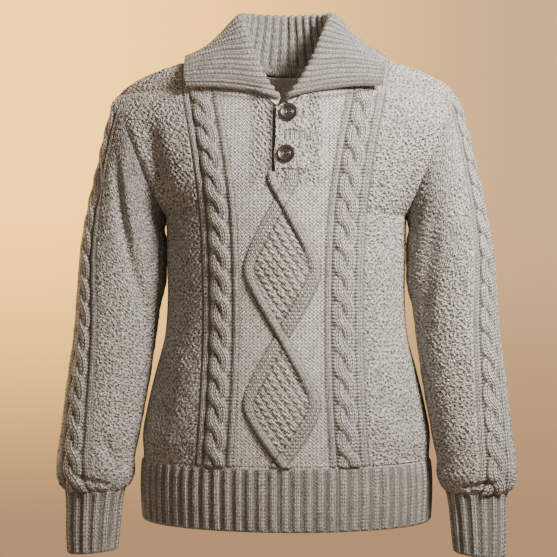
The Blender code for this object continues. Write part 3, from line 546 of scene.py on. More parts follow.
def lattice(side, x, z):
    """The two travelling strands: height, whether one is there, the place across it, painted shade, the area inside.

    An arcsine of a sine is a zigzag with rounded corners. The strand that runs down to the right is narrow, stands
    high and pulls a groove along its lower side. The other is broad and flat, and passes under it. Painted shade
    darkens the groove, the cloth just beside each strand and the sides of the upper strand.
    """
    middle = strand_middle(z)
    slant = np.sqrt(1 + (strand_middle(z - 0.5) - strand_middle(z + 0.5)) ** 2)
    crossing = np.cos(math.pi * through(DIAMOND_TURNS, 1, z))
    ends = eased((DIAMOND_END[side > 0] - z) / 6)
    height, hollow_shade, cut, place = np.zeros((4, *x.shape))
    on_strand = np.zeros(x.shape, bool)
    for way in (1, -1):
        down_right = np.clip(1.6 * way * crossing, -1, 1)
        off = (x - way * middle) / ((TRAVEL_HALF_WIDTH - 0.9 * down_right) * slant)
        strand = (TRAVEL_HEIGHT + TRAVEL_LIFT * down_right) * round_top(off) * ends
        cut = np.maximum(cut, bell(off + 1.1, 0.2) * eased(down_right) * ends)
        other_side = 0.7 * bell(np.abs(off) - 1.12, 0.2) * ends
        over = (np.abs(off) < 1) & (strand > height)
        height, place, on_strand = np.where(over, strand, height), np.where(over, off, place), on_strand | over
        hollow_shade = np.where(over, 0.55 * eased((np.abs(off) - 0.8) / 0.2), np.maximum(hollow_shade, other_side))
    inside = (np.abs(x) < np.abs(middle) - 3) & (z < DIAMOND_TOP)
    return height - GROOVE_DEPTH * cut, on_strand, place, np.maximum(hollow_shade, cut), inside


def seed(x, z):
    """Moss inside the lattice: knots in columns that slant the way the upper strand runs, and painted shade between
    them.
    """
    sway = 0.7 * np.sin(z / 9) + 0.9 * np.sin(2 * math.pi * z / SEED_UP)
    column = 2 * math.pi * (x + SEED_SLANT * z + sway) / SEED_ACROSS
    knots = np.cos(2 * math.pi * z / SEED_UP + 1.6 * np.sin(column) + 0.5 * np.sin(x / 6))
    ridge = eased((np.cos(column) + 0.95) / 1.1)
    return SEED_HEIGHT * ridge * (0.58 + 0.42 * knots), 0.4 * (1 - ridge) ** 1.5 + 0.22 * eased((-0.3 - knots) / 0.7)


# %% [markdown]
# ## The grid of a panel
#
# A knitter counts wales across and courses up. The columns of the grid follow the wales: they keep their place in
# the middle panel, the cable or the side panel, so the relief never slides over the grid. In front, some
# columns straighten towards the placket, and its opening is cut along grid lines.

# %% Columns and rows of a panel
MIDDLE_CELLS, GROUP_CELLS, SIDE_CELLS = 36, 32, 68
LOWER_ROWS, UPPER_ROWS = 216, 96
ROW_SPLIT = -170.0
TOP_EASE = 0.35
PLACKET_LEFT, PLACKET_RIGHT = -13.0, 31.0
NOTCH_LEFT, NOTCH_RIGHT = 8, 16
# Moss beside the placket: middle, half width, bottom. The relief ends at this height, under the collar.
MOSS_FIELD = (6, 52, -196)
RELIEF_TOP = -56
# Painted shadows on the front, beside the slit under the band's edge and in a line under the collar's edge: width
# beside the slit, height of the collar's edge at the middle and its rise outwards.
SLIT_SHADE = 4.4
COLLAR_SHADE = (-80, 0.14)


def column_table():
    """For each column: its side, the region it is in (middle 0, cable 1, side 2) and its share of that."""
    cells = (MIDDLE_CELLS, GROUP_CELLS, SIDE_CELLS)
    region = np.repeat([0, 1, 2], cells)
    share = np.concatenate([np.arange(1, count + 1) / count for count in cells])
    sign = np.ones(len(share))
    left_to_right = (-sign, [1], sign), (region[::-1], [0], region), (share[::-1], [0], share)
    return [np.concatenate(parts)[:, None] for parts in left_to_right]


def column_x(side, sign, region, share, z):
    """x of each column at each height: the region's edges from the cable's line, and the share between them."""
    line = through(CABLE_LINE, 1, z)
    edge = line - GROUP_HALF
    middle = share * edge
    if side < 0:
        at = np.where(sign > 0, NOTCH_RIGHT, NOTCH_LEFT) / MIDDLE_CELLS
        to = np.where(sign > 0, PLACKET_RIGHT, -PLACKET_LEFT)
        bent = np.where(share < at, share / at * to, to + (share - at) / (1 - at) * (edge - to))
        straight = eased((z - ROW_SPLIT + 45) / 45)
        middle = middle * (1 - straight) + bent * straight
    group = edge + share * 2 * GROUP_HALF
    half, _, angle = panel_edge(z)
    start = section_angle(line + GROUP_HALF, z)
    outer = half * np.sin((start + (1 - start) * share) * angle) / np.sin(angle)
    return sign * np.where(region == 0, middle, np.where(region == 1, group, outer))


def panel_grid(side):
    """x and z of every point. Rows are even up to the placket, then close up towards the shoulder seam."""
    sign, region, share = column_table()
    top = np.full((len(sign), 1), -60.0)
    for _ in range(40):
        top = 0.5 * top + 0.5 * top_of(side, column_x(side, sign, region, share, top))
    low = np.linspace(HEM_SEAM, ROW_SPLIT, LOWER_ROWS + 1)[None, :]
    s = 1 - np.arange(1, UPPER_ROWS + 1)[None, :] / UPPER_ROWS
    a = 1 / (2 * TOP_EASE - TOP_EASE**2)
    fall = np.where(s < TOP_EASE, a * s * s, a * TOP_EASE**2 + 2 * a * TOP_EASE * (s - TOP_EASE))
    z = np.concatenate([low + 0 * top, top - (top - ROW_SPLIT) * fall], axis=1)
    return column_x(side, sign, region, share, z), z


# %% Relief and stitches of a panel
def panel_relief(side, x, z, from_cable):
    """All that is raised on a panel, with UVs in wales and courses for each strand, gutter and the ground.

    Returns the relief, the UV layers, the layer each point picks, the knit and moss masks, and the painted shade.
    """
    along = np.interp(z, *cable_lengths(side))
    moss, pit_shade = pebbles(np.where(from_cable > 0, from_cable, x), along)
    in_moss = eased(from_cable / MOSS_EDGE)
    if side < 0:
        middle, half, bottom = MOSS_FIELD
        in_moss = np.maximum(in_moss, eased((z - bottom) / 22) * eased((half - np.abs(x - middle)) / 14))
    travel, on_travel, off, travel_shade, inside = lattice(side, x, z)
    knots, between = seed(x, z)
    relief = np.where(inside, np.maximum(travel, knots), travel)
    hollow_shade = np.where(inside & (knots > travel - 0.4), np.maximum(between, travel_shade), travel_shade)
    wales = np.where(from_cable > 0, SIDE_WALES + from_cable / WALE, x / GROUND_WALE)
    places, pick = [wales, 1.5 + 1.5 * off], on_travel.astype(int)
    for way in (-1, 1):
        height, low = add_cable(x - way * through(CABLE_LINE, 1, z), -along, -side, places, pick)
        relief, hollow_shade = relief + height, np.maximum(hollow_shade, low)
    knit = (pick > 0).astype(float)
    fade = eased((RELIEF_TOP - z) / 14)
    free = np.where(on_travel, 0, in_moss)
    raised = relief * fade + MOSS_HEIGHT * moss * free * eased((top_of(side, x) - z) / 2)
    hollow_shade = np.maximum(hollow_shade * fade, 0.6 * pit_shade * free)
    if side < 0:
        # Painted shadows: dark beside the slit, where the band would shade the front, and in a line under the collar's
        # edge.
        slit_shadow = bell(np.clip(PLACKET_LEFT - x, 0, None), SLIT_SHADE) * (x < 0) * eased((z - ROW_SPLIT + 2) / 4)
        collar_shadow = bell(z - COLLAR_SHADE[1] * np.abs(x) - COLLAR_SHADE[0], 2.2) * eased((118 - np.abs(x)) / 6)
        hollow_shade = np.maximum(hollow_shade, np.maximum(0.95 * slit_shadow, 0.8 * collar_shadow))
    return raised, uv_layers(places, along), pick, {"knit": knit, "moss": in_moss * (1 - knit), "hollow_shade": hollow_shade}


def side_distance(side, x, z):
    """Length across the cloth from the cable's outer edge, in the side panels only."""
    run = lengths_along(panel_face(side, x, z)[0])
    column = np.arange(len(x))[:, None]
    low, high = SIDE_CELLS, len(x) - 1 - SIDE_CELLS
    return np.where(column < low, run[low] - run, np.where(column > high, run - run[high], 0))


def make_panel(side, name, folds):
    """The plain face moved out by the relief and in by the folds, over a plain inner face."""
    x, z = panel_grid(side)
    relief, uvs, pick, stitch_and_shade_masks = panel_relief(side, x, z, side_distance(side, x, z))
    from_edge = panel_edge(z)[0] - np.abs(x)
    face, normal = panel_face(side, x, z)
    creased = folds_at(folds, x, z) * eased((from_edge - 2) / 16)
    raised = relief * eased(from_edge / 9 + 0.12)
    outer = face + normal * (raised - creased)[..., None]
    inner = (face - normal * (creased + WALL)[..., None])[::COARSE, ::COARSE]
    for hand, column in ((-1, 0), (1, -1)):
        rim = z[column] > UNDERARM - 1e-6
        outer[column][rim] = face[column][rim]
        inner[column][rim[::COARSE]] = armhole_rim(armhole_turn(z[column, ::COARSE]), hand, side)[rim[::COARSE]]
    for layer in (outer, inner):
        layer[..., 1] = side * np.maximum(side * layer[..., 1], 0) + side * HALF_GAP
    middle = (len(x) - 1) // 2 // COARSE
    notch = (middle - NOTCH_LEFT // COARSE, middle + NOTCH_RIGHT // COARSE, LOWER_ROWS // COARSE)
    return make_wall(name, face, outer, inner, uvs, stitch_and_shade_masks, pick, notch=notch if side < 0 else None)


PIECES = [(make_panel(-1, "front_panel", FRONT_FOLDS), "front"), (make_panel(1, "back_panel", BACK_FOLDS), "back")]

# %% [markdown]
# ## Sleeves and cuffs
#
# A sleeve is a tube of rings. Each ring is an ellipse between an outer and an inner point, and the table of rings
# carries the dropped shoulder, the elbow and the fullness over the cuff. One grid coordinate runs down the rings,
# the other round them, and columns near the cable keep their distance from its middle, so that the cable stays as
# wide all the way down while the tube narrows.


# %% The plain surface of a sleeve
def ring_span(ring):
    """The outer and the inner point of a ring, as x and z."""
    return (np.stack([through(SLEEVE, k, ring), through(SLEEVE, k + 1, ring)], axis=-1) for k in (1, 3))


def sleeve_at(ring, angle):
    """An ellipse: the ring's middle, plus half the outer-inner span times cosine, and half its depth times sine."""
    outer, inner = ring_span(ring)
    flat = (outer + inner) / 2 + (outer - inner) / 2 * np.cos(angle)[..., None]
    y = through(SLEEVE, 6, ring) - through(SLEEVE, 5, ring) * np.sin(angle)
    return np.stack([flat[..., 0], y, flat[..., 1]], axis=-1)


def sleeve_normal(ring, angle):
    """Outward direction: small steps round the tube and along it, crossed."""
    along = sleeve_at(ring + 0.02, angle) - sleeve_at(ring - 0.02, angle)
    around = sleeve_at(ring, angle + 0.01) - sleeve_at(ring, angle - 0.01)
    return unit(np.cross(around, along))


def sleeve_radius(ring):
    """Mean of the ring's half span and half depth."""
    outer, inner = ring_span(ring)
    return (np.linalg.norm(outer - inner, axis=-1) / 2 + through(SLEEVE, 5, ring)) / 2


def cable_angle(ring, across):
    """Angle of a point at this distance from the cable's middle."""
    return np.radians(through(SLEEVE_CABLE, 1, ring)) + across / sleeve_radius(ring)


def cuff_out(rows, turn):
    """Outwards across a ring, within its own plane."""
    around = sleeve_at(rows, turn + 0.01) - sleeve_at(rows, turn - 0.01)
    front = sleeve_at(rows, math.pi / 2 + 0 * turn) - sleeve_at(rows, -math.pi / 2 + 0 * turn)
    outer = sleeve_at(rows, 0 * turn) - sleeve_at(rows, math.pi + 0 * turn)
    return unit(np.cross(around, np.cross(outer, front)))


# %% Knit the sleeves
SLEEVE_REST_CELLS, SLEEVE_ROWS = 188, 272
LENGTH_STEPS = 600
# Tucks: how many, how deep, and the ring where they begin. The inner side: how far it is filled out, and from which
# ring to which.
GATHERS, GATHER_DEPTH, GATHER_RING = 13, 1.7, 11.2
PRESSED_DEPTH, PRESSED_RINGS = 3.0, (0.9, 4.8)
# Beyond any cable.
FAR_OFF = 99


def sleeve_length(rings):
    """Length of cloth down the cable's line to each ring."""
    fine = np.linspace(0, CUFF_RING, LENGTH_STEPS)
    return np.interp(rings, fine, lengths_along(sleeve_at(fine, cable_angle(fine, 0.0))))


def even_rings():
    """Rings at even lengths down the sleeve."""
    fine = np.linspace(0, CUFF_RING, LENGTH_STEPS)
    lengths = sleeve_length(fine)
    return np.interp(np.linspace(0, lengths[-1], SLEEVE_ROWS + 1), lengths, fine)


def gathers(angle, ring):
    """Small soft tucks where the sleeve is drawn into the cuff: a cosine round the arm, of uneven depth."""
    wave = np.cos(GATHERS * angle + 1.1 * np.sin(2 * angle)) * (0.75 + 0.25 * np.sin(3 * angle + 0.7))
    return GATHER_DEPTH * wave * eased((ring - GATHER_RING) / 1.5) * eased((CUFF_RING + 0.15 - ring) / 0.35)


def pressed(angle, ring):
    """Below the armpit the sleeve's inner side fills out until it almost lies on the body: the cosine's far side."""
    first, last = PRESSED_RINGS
    return PRESSED_DEPTH * np.clip(-np.cos(angle), 0, 1) ** 2 * eased((ring - first) / 0.9) * eased((last - ring) / 1.2)


def make_sleeve(hand, name, folds):
    """The tube moved out by its cable, ribs and moss, and in by its folds. Its UVs have one more column, because
    the last cells end at the first points with other UVs."""
    ring = even_rings()[None, :]
    share = np.arange(SLEEVE_REST_CELLS)[:, None] / SLEEVE_REST_CELLS
    offset = np.linspace(-GROUP_HALF, GROUP_HALF, GROUP_CELLS + 1)[:-1, None]
    on_cable = cable_angle(ring, offset)
    start, end = cable_angle(ring, GROUP_HALF), cable_angle(ring, -GROUP_HALF) + 2 * math.pi
    angle = np.concatenate([on_cable, start + (end - start) * share])
    ring = ring + 0 * angle
    face, normal = sleeve_at(ring, angle), sleeve_normal(ring, angle)
    normal = np.where((ring > CUFF_RING - 1e-6)[..., None], cuff_out(ring, angle), normal)
    along = sleeve_length(ring)
    steps = np.linalg.norm(np.diff(face[GROUP_CELLS:], axis=0, append=face[:1]), axis=-1)
    run = np.cumsum(steps, axis=0) - steps
    total = run[-1:] + steps[-1:]
    in_moss = eased(np.concatenate([0 * on_cable, np.minimum(run, total - run)]) / MOSS_EDGE)
    moss, pit_shade = (np.concatenate([0 * on_cable, part]) * in_moss for part in pebbles(run, along[GROUP_CELLS:]))
    across = np.concatenate([offset + 0 * on_cable, FAR_OFF + 0 * run])
    places, pick = [np.concatenate([across[:GROUP_CELLS], run]) / WALE], np.zeros(ring.shape, int)
    cable, hollow_shade = add_cable(across, along, -hand, places, pick)
    wrapped = np.degrees((angle + math.pi) % (2 * math.pi) - math.pi)
    ends = eased(ring / 0.5) * eased((CUFF_RING - ring) / 0.5)
    creased = folds_at(folds * np.array([RING_STEP, 1, RING_STEP, 1, 1, 1]), ring * RING_STEP, wrapped) * ends
    creased = creased - gathers(angle, ring) - pressed(angle, ring)
    raised = (cable + MOSS_HEIGHT * moss) * eased(ring / 0.15) * eased((CUFF_RING - ring) / 0.12 + 0.3)
    outer = face + normal * (raised - creased)[..., None]
    inner = (face - normal * (creased + WALL)[..., None])[::COARSE, ::COARSE]
    outer[:, 0] = face[:, 0]
    inner[:, 0] = armhole_rim(angle[::COARSE, 0])
    slide = ARMHOLE_GAP * np.array([ARMHOLE_HALF[1], 0, -ARMHOLE_HALF[0]]) / math.hypot(*ARMHOLE_HALF)
    mirror = np.array([hand, 1, 1])
    closing = [total / WALE] + [place[:1] for place in places[1:]]
    uvs = uv_layers([np.concatenate(pair) for pair in zip(places, closing)], np.concatenate([along, along[:1]]))
    knit = (pick > 0).astype(float)
    # Painted shade from the cable and its gutters, and at half strength in the moss pits.
    stitch_and_shade_masks = {"knit": knit, "moss": in_moss * (1 - knit), "hollow_shade": np.maximum(hollow_shade, 0.5 * pit_shade)}
    return make_wall(name, face, (outer + slide) * mirror, (inner + slide) * mirror, uvs, stitch_and_shade_masks, pick, around=True)


PIECES += [(make_sleeve(1, "sleeve_left_knit", LEFT_SLEEVE_FOLDS), "sleeve_left"),
           (make_sleeve(-1, "sleeve_right_knit", RIGHT_SLEEVE_FOLDS), "sleeve_right")]

# %% [markdown]
# ## Ribbed hem and cuffs
#
# Two knit wales and two purl wales in turn make an elastic rib, which draws the cloth in. The knit pair stands out
# as one ridge with a crease between its wales. Round the tube, the ribs come at equal lengths, not at equal angles,
# because the section is longer than it is deep.

# %% Knit the ribs
HEM_RIBS, HEM_RIB_CELLS, HEM_ROWS = 68, 8, 44
CUFF_RIBS, CUFF_RIB_CELLS, CUFF_ROWS = 15, 12, 44
HEM_MIDDLE, CUFF_MIDDLE_RING = -580, 14.5
CUFF_RING_LENGTH = 28
RIB_HEIGHT = 2.6
RIB_SHARE = 0.56


def rib_height(share):
    """A rib over the share of a repeat: a round ridge with a crease up its middle, then a flat gutter."""
    off = (share - RIB_SHARE / 2) / (RIB_SHARE / 2)
    return np.where(np.abs(off) < 1, np.maximum(round_top(off) - 0.22 * bell(off, 0.24), 0), 0)


def even_turns(point_at, cells):
    """Shares of the way round a section in equal steps, and the angles at which its length reaches them."""
    shares = np.arange(cells)[:, None] / cells
    angles = np.linspace(0, 2 * math.pi, 1441)
    lengths = lengths_along(point_at(angles))
    return shares, np.interp(shares * lengths[-1], lengths, angles)


def ribbed_tube(name, count, shares, face, out, ends, length):
    """A tube whose outer face carries count ribs, each of two knit and two purl wales."""
    rib = rib_height(shares * count % 1)
    height = RIB_HEIGHT * rib * ends
    uvs = uv_layers([np.concatenate([shares, [[1.0]]]) * count * 2 / RIB_SHARE], length)
    # Painted shade darkens the low gutters between the ribs.
    stitch_and_shade_masks = {"knit": (rib > 0.2) + 0 * height, "hollow_shade": 0.75 * np.clip(0.95 - height / 1.3, 0, 1) * ends}
    outer, inner = face + out * height[..., None], (face - out * WALL)[::COARSE, ::COARSE]
    return make_wall(name, face, outer, inner, uvs, stitch_and_shade_masks, around=True)


def body_ring(angle, z):
    """The whole section of the body below the armholes, and its outward direction."""
    half = through(BODY, 1, z)
    deep = np.where(np.cos(angle) > 0, through(BODY, 2, z), through(BODY, 3, z))
    point = np.stack([half * np.sin(angle), -deep * np.cos(angle), z + 0 * angle], axis=-1)
    return point, unit(np.stack([deep * np.sin(angle), -half * np.cos(angle), 0 * angle], axis=-1))


def make_hem():
    """The hem's tube, with its ribs rounded off at both ends."""
    z = np.linspace(HEM_EDGE, HEM_SEAM - 2 * HALF_GAP, HEM_ROWS + 1)[None, :]
    shares, turns = even_turns(lambda angles: body_ring(angles, np.float64(HEM_MIDDLE))[0], HEM_RIBS * HEM_RIB_CELLS)
    face, out = body_ring(turns + 0 * z, z + 0 * turns)
    ends = eased((z - HEM_EDGE) / 3) * eased((z[0, -1] - z) / 5)
    return ribbed_tube("hem_rib_knit", HEM_RIBS, shares, face, out, ends, z - HEM_EDGE)


def make_cuff(hand, name):
    """A cuff's tube down its own rings."""
    ring = np.linspace(CUFF_RING, LAST_RING, CUFF_ROWS + 1)[None, :]
    shares, turns = even_turns(lambda angles: sleeve_at(CUFF_MIDDLE_RING + 0 * angles, angles),
                               CUFF_RIBS * CUFF_RIB_CELLS)
    rows, angle = ring + 0 * turns, turns + 0 * ring
    ends = eased((rows - CUFF_RING) / 0.3 + 0.4) * eased((LAST_RING - rows) / 0.12 + 0.2)
    mirror = np.array([hand, 1, 1])
    face = (sleeve_at(rows, angle) + np.array([0, 0, -2 * HALF_GAP - 0.3])) * mirror
    return ribbed_tube(name, CUFF_RIBS, shares, face, cuff_out(rows, angle) * mirror, ends,
                       (ring - CUFF_RING) * CUFF_RING_LENGTH)


PIECES += [(make_hem(), "hem_rib"), (make_cuff(1, "cuff_left_knit"), "cuff_left"),
           (make_cuff(-1, "cuff_right_knit"), "cuff_right")]

# %% [markdown]
# ## The collar
#
# A polo collar is one strip of rib, sewn to the neckline, that stands up the neck and folds over. Its path starts
# beside the cut edge, rises to the fold and comes down outside to its free edge. Stations round the neck say where
# the fold and the edge are, and a smooth curve joins the few points of each path. The ribs run up the path, so
# they fan out towards the free edge as the real ones do.

# %% Stations of the collar
# Number, fold x y z, edge x y z, place on the neckline as an angle from the front.
COLLAR = np.array([
    [0, 4, -86, -74, 126, -74, -57, 6],
    [1, 20, -79, -53, 129, -67, -46, 28],
    [2, 37, -58, -20, 131, -44, -27, 50],
    [3, 51, -29, 18, 131, -4, -14, 70],
    [4, 61, 4, 45, 121, 44, -22, 92],
    [5, 48, 40, 52, 78, 80, -37, 128],
    [6, 0, 58, 53, 0, 92, -46, 180],
])
COLLAR_RIBS, COLLAR_RIB_CELLS, COLLAR_ROWS = 46, 8, 76
COLLAR_RIB_HEIGHT = 2.2
COLLAR_FOLD_HALF = 4.0
COLLAR_FOLD_DROP = 6.0
COLLAR_CLEAR = 4.6
COLLAR_GAP = (1.1, 2.1)
# The back's middle has no direction along the neckline, so angles stop just before it.
LAST_ANGLE = 179.0


def either_face(in_front, x, z):
    """The front's plain face and outward direction where in_front is true, else the back's."""
    return [np.where(in_front[..., None], *both) for both in zip(panel_face(-1, x, z), panel_face(1, x, z))]


def neck_point(angle):
    """A point of the neckline, at an angle from the front in degrees."""
    x = NECK_HALF_WIDTH * np.sin(np.radians(angle))
    near = np.minimum(np.abs(x), NECK_HALF_WIDTH - 0.01)
    return either_face(angle < 90, x, np.where(angle < 90, top_of(-1, near), top_of(1, near)))[0]


def outside_panel(points):
    """Moves points out along the panel's normal until they are clear of the panel beneath them."""
    x, y = points[..., 0], points[..., 1]
    level = np.minimum(points[..., 2], through(SHOULDER, 1, np.abs(x)) - 0.01)
    face, normal = either_face(y < 0, x, level)
    over = np.sum((points - face) * normal, axis=-1)
    return points + normal * np.maximum(COLLAR_CLEAR - over, 0)[..., None]


def collar_base(angle, towards):
    """Where the collar starts: beside the cut edge of the panel, in the middle of its wall."""
    point = neck_point(angle)
    in_front = angle < 90
    normal = either_face(in_front, point[..., 0], point[..., 2])[1]
    over_edge = unit(np.cross(normal, neck_point(angle + 0.5) - neck_point(angle - 0.5)))
    inwards = point * np.array([-1, -1, 0]) + np.array([0, 0, 60.0])
    over_edge = over_edge * np.sign(np.sum(over_edge * inwards, axis=-1, keepdims=True))
    rising = unit(towards - point)
    gap = np.where(in_front, *COLLAR_GAP) + WALL / 2 * np.abs(np.sum(rising * normal, axis=-1))
    return point - normal * WALL / 2 + over_edge * gap[..., None]


def collar_path(station):
    """The middle of the collar's cloth at ten places from the neckline, over the fold and down to the edge."""
    fold, edge = (np.stack([through(COLLAR, k + axis, station) for axis in range(3)], axis=-1) for k in (1, 4))
    angle = np.minimum(through(COLLAR, 7, station), LAST_ANGLE)
    away = unit(fold * np.array([1, 1, 0])) * COLLAR_FOLD_HALF
    to_base = unit(neck_point(angle) - fold) * COLLAR_FOLD_DROP
    to_edge = unit(edge - fold) * COLLAR_FOLD_DROP
    inner, outer = fold + to_base - away, outside_panel(fold + to_edge + away)
    base = collar_base(angle, inner)
    path = [base, base * 0.5 + inner * 0.5, inner, fold + to_base * 0.3 - away * 0.75, fold,
            fold + to_edge * 0.3 + away * 0.75, outer]
    for share in (0.33, 0.68, 1.0):
        swell = np.array([0, 0, 4.0 * math.sin(math.pi * share)])
        path.append(outside_panel(outer * (1 - share) + edge * share + swell))
    return np.stack(path, axis=1)


def smooth_rows(path, count):
    """Each path again at more rows, spaced by the mean distance of its points, and the length at each row."""
    keys = np.append(0, np.cumsum(np.linalg.norm(np.diff(path, axis=1), axis=-1).mean(axis=0)))
    at = np.linspace(0, keys[-1], count)
    return np.moveaxis(smooth_curve(keys, np.moveaxis(path, 1, 0), at), 0, 1), at


def mirrored_station(place):
    """Stations run from the left front round the back to the right front: 0 to 6, then back to 0, mirrored."""
    return np.minimum(place, 12 - place), np.where(place[:, None] <= 6, [1, 1, 1], [-1, 1, 1])


# %% Knit the collar
def make_collar():
    """A wall of even thickness round the smoothed paths, ribbed on the face that shows."""
    fine = np.linspace(0, 12, 481)
    station, mirror = mirrored_station(fine)
    run = lengths_along(collar_path(station)[:, 4] * mirror)
    shares = np.linspace(0, 1, COLLAR_RIBS * COLLAR_RIB_CELLS + 1)
    station, mirror = mirrored_station(np.interp(shares * run[-1], run, fine))
    grid, length = smooth_rows(collar_path(station), COLLAR_ROWS + 1)
    grid = grid * mirror[:, None, :]
    out = unit(np.cross(np.gradient(grid, axis=1), np.gradient(grid, axis=0)))
    rib = rib_height((shares * COLLAR_RIBS - 0.5 + RIB_SHARE / 2) % 1)[:, None]
    ends = (eased(length / 12 + 0.15) * eased((length[-1] - length) / 3 + 0.35))[None, :]
    height = COLLAR_RIB_HEIGHT * rib * ends
    outer = grid + out * (WALL / 2 + height)[..., None]
    step = COARSE // 2
    inner = (grid - out * WALL / 2)[::step, ::step]
    # Painted shade darkens the gutters between the ribs and the last rows of the free edge, which would lie in shade.
    edge = eased((length - length[-1] + 1.6) / 1.2)[None, :]
    hollow_shade = np.maximum(0.8 * np.clip(1.0 - height / 0.9, 0, 1) * ends, 0.85 * edge)
    uvs = uv_layers([shares[:, None] * COLLAR_RIBS * 2 / RIB_SHARE], length[None, :])
    stitch_and_shade_masks = {"knit": (rib > 0.2) + 0 * height, "hollow_shade": hollow_shade}
    return make_wall("collar_rib_knit", grid, outer, inner, uvs, stitch_and_shade_masks, step=step)


PIECES += [(make_collar(), "collar")]

# %% [markdown]
# ## Placket bands
#
# The front opens down a short way from the neck. Two bands of firm knitting close the opening, one over the
# other. The upper one is knitted on to the front at its right and lower edges, so its stitches run on into the
# ground there, and its free left edge stands open a little over a slit that painted shade darkens. Two ridges and a
# short stretch of rib cross it, and beside each button is its buttonhole, a short upright slit. Painted shade also
# darkens the buttonholes and the cloth beside the ridges and in the rib. Each face is the front's own plain face, moved
# out.

# %% Sizes of the bands
PLACKET_BOTTOM = -170.0
BAND_RAISE = 2.2
BAND_GAP = 0.5
BAND_END_GAP = 0.8
BAND_NECK_GAP = 0.8
BAND_TONGUE = 3.8
BAND_SET_BACK = 4.2
BAND_OVERLAP = 2.4
BAND_EDGE_LIFT = 0.4
BAND_CELLS, BAND_ROWS = 40, 72
BAND_LEFT, BAND_RIGHT = PLACKET_LEFT + 2 * HALF_GAP, PLACKET_RIGHT - 2 * HALF_GAP
BAND_BOTTOM = PLACKET_BOTTOM + BAND_END_GAP
# The free edge bows out to the left: how far, at which height, over which half height.
BAND_BOW = (1.6, -149, 15)
# Height of a ridge at its left end, its fall to the right, its half width.
BAND_RIDGES = np.array([[-115.4, -1.2, 1.3], [-165.0, -2.4, 1.4]])
BAND_RIB = (-131, -118)
BAND_RIB_PITCH = 6.2
BUTTONHOLES = ((26.5, -94.5), (26.0, -147.5))


def band_grid(left, right, bottom):
    """x and z of a band: its columns end just under the neckline, and a little above it between the collar's ends."""
    rise = np.linspace(0, 1, BAND_ROWS + 1)[None, :]
    x = np.linspace(left, right, BAND_CELLS + 1)[:, None]
    top = top_of(-1, x) - BAND_NECK_GAP + BAND_TONGUE * bell(x - 1.5, 4.5)
    return x + 0 * rise, bottom + (top - bottom) * rise


def band_relief(x, z, inset):
    """Ridges, short rib, the rolled free edge and the buttonholes: height, the painted shade beside each, and the rib.
    """
    height, hollow_shade = 0.5 * bell(inset - 1.5, 1.1), 0 * x
    span = eased((x + 1) / 3) * eased((32 - x) / 4)
    for level, fall, half in BAND_RIDGES:
        off = (z - level - fall * x / 30) / half
        height = height + 0.8 * span * bell(off - 1.1)
        hollow_shade = np.maximum(hollow_shade, 0.95 * span * bell(off + 0.5, 0.8))
    in_rib = eased((BAND_RIB[1] - z) / 1.5) * eased((z - BAND_RIB[0]) / 2) * span
    wave = np.cos(2 * math.pi * x / BAND_RIB_PITCH)
    height = height + (0.45 + 0.45 * wave) * in_rib
    hollow_shade = np.maximum(hollow_shade, 0.85 * eased((-0.35 - wave) / 0.5) * in_rib)
    for across, level in BUTTONHOLES:
        far = np.hypot((x - across + 0.04 * (z - level) ** 2) / 1.5, (z - level) / 5.2)
        hollow_shade = np.maximum(hollow_shade, 0.95 * np.exp(-(far**4)))
        height = height - 0.9 * np.exp(-(far**4)) + 0.5 * bell(far - 1.9, 0.6)
    return height, hollow_shade, in_rib


# %% Knit the bands
def make_over():
    """The upper band: its plain face and relief, brought down to the ground along its knitted-on edges."""
    x, z = band_grid(BAND_LEFT + BAND_SET_BACK, BAND_RIGHT + BAND_OVERLAP, BAND_BOTTOM - BAND_OVERLAP)
    share = (x[-1:] - x) / (x[-1:] - x[:1])
    bow, at, half = BAND_BOW
    x = x - bow * bell(z - at, half) * share**2
    inset = x - x[:1]
    to_ground = np.minimum(x[-1:] - x, z - z[:, :1])
    height, hollow_shade, in_rib = band_relief(x, z, inset)
    lift = BAND_EDGE_LIFT + (BAND_RAISE - BAND_EDGE_LIFT) * eased(to_ground / 7)
    face, normal = panel_face(-1, x, z)
    outer = face + normal * (lift + 0.6 * height * eased(to_ground / 2) * eased(inset / 0.8 + 0.2))[..., None]
    inner, out = panel_face(-1, np.minimum(x, BAND_RIGHT)[::COARSE, ::COARSE],
                            np.maximum(z, BAND_BOTTOM)[::COARSE, ::COARSE])
    uvs = uv_layers([x / GROUND_WALE], np.interp(z, *cable_lengths(-1)))
    stitch_and_shade_masks = {"knit": 0.5 * in_rib, "moss": 0.8 * (1 - in_rib), "hollow_shade": hollow_shade}
    return make_wall("placket_over_knit", face, outer, inner + out * (BAND_RAISE - WALL), uvs, stitch_and_shade_masks)


def make_under():
    """The lower band: plain, and sunk under the slit, where painted shade darkens it."""
    x, z = band_grid(BAND_LEFT, BAND_RIGHT, BAND_BOTTOM)
    lift = (BAND_RAISE - WALL - BAND_GAP - 2.4 * eased((-4 - x) / 4))[..., None]
    face, normal = panel_face(-1, x, z)
    inner = (face + normal * (lift - WALL))[::COARSE, ::COARSE]
    stitch_and_shade_masks = {"knit": 0 * x, "hollow_shade": 0.95 * eased((0 - x) / 5)}
    uvs = uv_layers([x / GROUND_WALE], z - PLACKET_BOTTOM)
    return make_wall("placket_under_knit", face, face + normal * lift, inner, uvs, stitch_and_shade_masks)


PIECES += [(make_over(), "placket_over"), (make_under(), "placket_under")]

# %% [markdown]
# ## Buttons
#
# The two buttons are turned: a profile carried round an axis. Fine rings are left by the tool, and the dished
# middle is pierced by four holes. The turned surface is one grid of radius and angle, so the holes are simply deep
# dimples in it.

# %% Turn the buttons
BUTTONS = {"button_top": (8.0, -93.5), "button_bottom": (5.2, -147.0)}
BUTTON_CLEAR = 0.4
